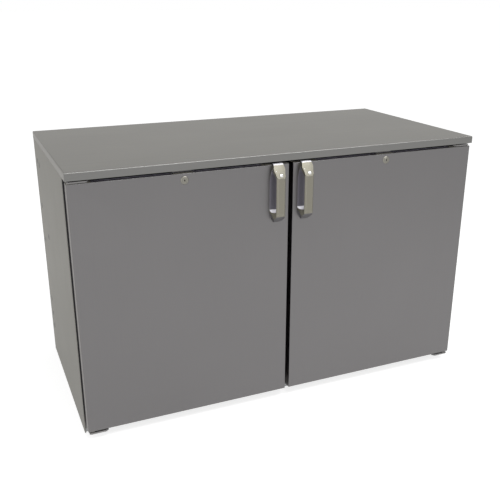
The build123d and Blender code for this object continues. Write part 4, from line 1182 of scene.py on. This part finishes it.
BEZEL_PROFILE = [
    (0.0061, 0.0), (0.0110, 0.0), (0.0110, 0.0004), (0.0106, 0.0009), (0.0099, 0.0016),
    (0.0092, 0.0020), (0.0063, 0.0020), (0.0061, 0.0019), (0.0061, 0.0010),
]
PLUG_PROFILE = [(0.0, 0.0021), (0.0057, 0.0021), (0.0060, 0.0018), (0.0060, -0.0179), (0.0, -0.0179)]
LOCK_RADIUS = 0.0095
NUT_RADIUS = 0.013
NUT_PLACE = (-0.2835, -0.2805)
BODY_END = -0.2705
CAM_BACK = -0.267
TAIL_HALF = 0.0025
TAIL_FRONT = -0.272
PLUG_BORE = 0.0061
BORE_DEEP = 0.02
KEY_HALF = 0.0014
KEY_HIGH = 0.0024
KEY_END = -0.281


def six_sided(radius, y_front, y_back):
    corners = [math.radians(60 * i) for i in range(6)]
    outline = [(-LOCK_X + radius * math.cos(a), LOCK_Z + radius * math.sin(a)) for a in corners]
    return prism("Y", outline, y_front, y_back)


def in_keyway(place, facing):
    deep = DOOR_FRONT - 0.0019 < place.y < KEY_END + 0.0005
    return deep and abs(place.x + LOCK_X) < KEY_HALF + 1e-4 and abs(place.z - LOCK_Z) < KEY_HIGH + 1e-4


lock_nickel = plated("lock_nickel", (0.232, 0.224, 0.196), 0.34)
keyway_dark = moulded("keyway_shadow", (0.010, 0.010, 0.009), 0.6)
cam_zinc = plated("cam_zinc", (0.42, 0.41, 0.38))
for side, way in SIDES:
    barrel = made(
        [six_sided(LOCK_RADIUS, DOOR_FRONT, BODY_END)], side + "_lock_body", side + "_door", lock_nickel,
        "lock_metal", side + "_lock_cylinder",
    )
    worked(barrel, "UNION", six_sided(NUT_RADIUS, *NUT_PLACE))
    worked(barrel, "DIFFERENCE", lock_drill(PLUG_BORE, BORE_DEEP, 2 * PAST))
    bezel = lathe(BEZEL_PROFILE + BEZEL_PROFILE[:1], *LOCK_MOUTH, count=48)
    bmesh.ops.remove_doubles(bezel, verts=bezel.verts, dist=1e-6)
    on_side(added(barrel, bezel), way)
    plug = made(
        [lathe(PLUG_PROFILE, *LOCK_MOUTH, count=48)], side + "_lock_core", side + "_lock", lock_nickel, "lock_metal",
        side + "_lock_plug",
    )
    worked(plug, "DIFFERENCE", post(-LOCK_X, LOCK_Z, KEY_HALF, KEY_HIGH, DOOR_FRONT - 0.004, KEY_END))
    finished_faces(plug, keyway_dark, in_keyway)
    worked(plug, "UNION", post(-LOCK_X, LOCK_Z, TAIL_HALF, TAIL_HALF, TAIL_FRONT, CAM_BACK))
    on_side(plug, way)
    dress(cam_zinc, side + "_lock_cam")


# The hinge brackets: 4 mm plate bent at right angles, zinc-plated. A narrow leg is screwed beside
# the gasket, and the arm carries the pin, down at the top and up at the foot.

PLATE = 0.004
PLATE_BEND = 0.003
ARM_TOP = 0.7372
ARM_FOOT = 0.020
UPPER_LEG = 0.697
LOWER_LEG = 0.066
ARM_OUTER = -0.603
ARM_INNER = -0.549
LEG_INNER = -0.590
NOTCH_EDGE = 0.013
NOTCH_DEEP = 0.012
ARM_FRONT = -0.287
PIVOT = (-0.5935, -0.275)
ARM_PLAN = [
    (ARM_OUTER, FACE), (ARM_OUTER, ARM_FRONT + 0.003), (ARM_OUTER + 0.003, ARM_FRONT),
    (ARM_INNER - 0.007, ARM_FRONT), (ARM_INNER, ARM_FRONT + 0.007), (ARM_INNER, FACE),
]
UPPER_PIN = 0.0127
LOWER_PIN = 0.016
PIN_TIP = 0.003
PIN_RADIUS = 0.004
PIN_POINT = 0.001
PIN_ROOT = 0.001

upper_section = bent([(FACE, UPPER_LEG), (FACE, ARM_TOP), (ARM_FRONT, ARM_TOP)], PLATE, PLATE_BEND, 6)
lower_section = bent([(ARM_FRONT, ARM_FOOT), (FACE, ARM_FOOT), (FACE, LOWER_LEG)], PLATE, PLATE_BEND, 6)
bracket_zinc = plated("bracket_zinc", (0.290, 0.283, 0.280), 0.4, 0.3)
for side, way in SIDES:
    for level, section, notch, pin, height, turn in (
        ("upper", upper_section, (UPPER_LEG - PAST, ARM_TOP - NOTCH_EDGE), UPPER_PIN, ARM_TOP - PLATE, -1),
        ("lower", lower_section, (ARM_FOOT + NOTCH_EDGE, LOWER_LEG + PAST), LOWER_PIN, ARM_FOOT + PLATE, 1),
    ):
        nodes = ["hinge_brackets"] if (side, level) == ("left", "upper") else []
        plate = made(
            [prism("X", section, ARM_OUTER, ARM_INNER)], f"{side}_{level}_bracket", "cabinet", bracket_zinc,
            "plated_steel", *nodes,
        )
        worked(plate, "INTERSECT", prism("Z", ARM_PLAN, 0.0, TOP))
        worked(plate, "DIFFERENCE", block(LEG_INNER, ARM_INNER + PAST, FACE - NOTCH_DEEP, FACE + PAST, *notch))
        rounded(plate, 0.0004, 2)
        peg = [(0.0, pin), (PIN_TIP, pin), (PIN_RADIUS, pin - PIN_POINT), (PIN_RADIUS, -PIN_ROOT), (0.0, -PIN_ROOT)]
        on_side(added(plate, lathe(peg, (*PIVOT, height), (0, 0, turn), count=24)), way)


# The strikes: zinc-plated strips bent to a hook under the worktop's nose, which the cams turn up
# behind to lock the doors.

STRIKE_SHEET = 0.0015
STRIKE_HALF = 0.0265
STRIKE_SHIFT = -0.0027
STRIKE_LIP = -0.274
STRIKE_TOP = 0.7408
STRIKE_PLACES = (-LOCK_X + STRIKE_SHIFT, LOCK_X + STRIKE_SHIFT)

strike_section = bent([
    (FACE, 0.724), (FACE, STRIKE_TOP), (STRIKE_LIP, STRIKE_TOP), (STRIKE_LIP, 0.7342),
], STRIKE_SHEET, 0.001)
strikes = [prism("X", strike_section, x - STRIKE_HALF, x + STRIKE_HALF) for x in STRIKE_PLACES]
bent_strikes = made(strikes, "bent_strikes", "cabinet", bracket_zinc, "plated_steel", "lock_strikes")
rounded(bent_strikes, 0.0003, 2)


# The casing's screws: zinc-plated sheet-metal screws with six-sided washer heads, through the
# back, the brackets and the strikes.

HEAD_ACROSS = 0.0040
WASHER_PROFILE = [(0.0, 0.0007), (0.0042, 0.0007), (0.0045, 0.0004), (0.0045, 0.0), (0.0, 0.0)]
HEAD_PROFILE = [(0.0, 0.0020), (0.0019, 0.0022), (0.0031, 0.0026), (HEAD_ACROSS, 0.0021), (HEAD_ACROSS, 0.0006)]
HEAD_PROFILE += [(0.0, 0.0006)]

screw_places = [((x, BACK, z), 1) for x in (-0.560, -0.280, 0.0, 0.280, 0.560) for z in (0.018, 0.722)]
screw_places += [((x, BACK, z), 1) for x in (-0.600, 0.600) for z in (0.190, 0.370, 0.550)]
screw_places += [((x, FACE - PLATE, z), -1) for x in (-0.597, 0.597) for z in (0.057, 0.706)]
for x in STRIKE_PLACES:
    screw_places += [((x + shift, FACE - STRIKE_SHEET, 0.730), -1) for shift in (-0.016, 0.016)]
heads = []
for place, way in screw_places:
    heads.append(lathe(WASHER_PROFILE, place, (0, way, 0), count=24))
    heads.append(lathe(HEAD_PROFILE, place, (0, way, 0), count=6))
made(heads, "washer_head_screws", "cabinet", bright_steel, "bright_screw", "casing_screws", crease=30)


# The studio: a wide pale floor that glows white to the camera and to metal but keeps the
# cooler's shadow, two soft lamps, a white world, and the camera where the photographer stood.

FLOOR_HALF = 60.0
FLOOR_PAINT = (0.5, 0.5, 0.5, 1.0)
FLOOR_GLOW = 0.78
WHITE = (1.0, 1.0, 1.0, 1.0)
WORLD_LIGHT = 0.5
LAMPS = {
    "overhead": {"place": (0.9, -1.8, 3.4), "size": (3.6, 0.8), "power": 75.0},
    "left": {"place": (-3.2, -1.8, 1.6), "size": (2.4, 2.4), "power": 14.0},
}
LAMP_AIM = Vector((0, 0, 0.4))
CAMERA_PLACE = (-0.8351, -1.9627, 1.158)
CAMERA_TURN = math.radians(-23.04)
CAMERA_DIP = math.radians(19.97)
CAMERA_LENS = 50.1
CAMERA_FILM = 36.0


def by_ray(owner, light, backdrop):
    """One shader that lights the cooler, and another that the camera, metal and glass see."""
    rays = add_node(owner, "LightPath").outputs
    seen = rays["Is Camera Ray"]
    for kind in ("Is Glossy Ray", "Is Transmission Ray"):
        seen = add_node(owner, "Math", {"operation": "MAXIMUM"}, (seen, rays[kind])).outputs[0]
    return add_node(owner, "MixShader", plugs=(seen, light, backdrop)).outputs[0]


def look_along(thing, way):
    thing.rotation_euler = way.to_track_quat("-Z", "Y").to_euler()


floor_mesh = bpy.data.meshes.new("floor")
corners = [(x * FLOOR_HALF, y * FLOOR_HALF, 0) for x, y in ((-1, -1), (1, -1), (1, 1), (-1, 1))]
floor_mesh.from_pydata(corners, [], [(0, 1, 2, 3)])
floor_paint = new_material("floor_paint")
paint = add_node(floor_paint, "BsdfDiffuse", Color=FLOOR_PAINT).outputs[0]
glow = add_node(floor_paint, "Emission", Color=WHITE, Strength=FLOOR_GLOW).outputs[0]
bright_floor = add_node(floor_paint, "AddShader", plugs=(glow, paint)).outputs[0]
feed(floor_paint, floor_paint.node_tree.nodes["Material Output"], "Surface", by_ray(floor_paint, paint, bright_floor))
floor_mesh.materials.append(floor_paint)
shown("floor", floor_mesh)

for name, lamp in LAMPS.items():
    light = bpy.data.lights.new(name + "_lamp", "AREA")
    light.shape = "RECTANGLE"
    light.size, light.size_y = lamp["size"]
    light.energy = lamp["power"]
    holder = shown(name + "_lamp", light)
    holder.location = lamp["place"]
    holder.visible_camera = False
    look_along(holder, LAMP_AIM - holder.location)

world = bpy.data.worlds.new("studio")
bpy.context.scene.world = world
world.use_nodes = True
world.node_tree.nodes.clear()
soft, white = [
    add_node(world, "Background", Color=WHITE, Strength=strength).outputs[0] for strength in (WORLD_LIGHT, 1.0)
]
add_node(world, "OutputWorld", Surface=by_ray(world, soft, white))

camera = bpy.data.cameras.new("camera")
camera.lens = CAMERA_LENS
camera.sensor_width = CAMERA_FILM
viewer = shown("camera", camera)
viewer.location = CAMERA_PLACE
level = math.cos(CAMERA_DIP)
look_along(viewer, Vector((-math.sin(CAMERA_TURN) * level, math.cos(CAMERA_TURN) * level, -math.sin(CAMERA_DIP))))
bpy.context.scene.camera = viewer
bpy.context.scene.view_settings.view_transform = "Standard"
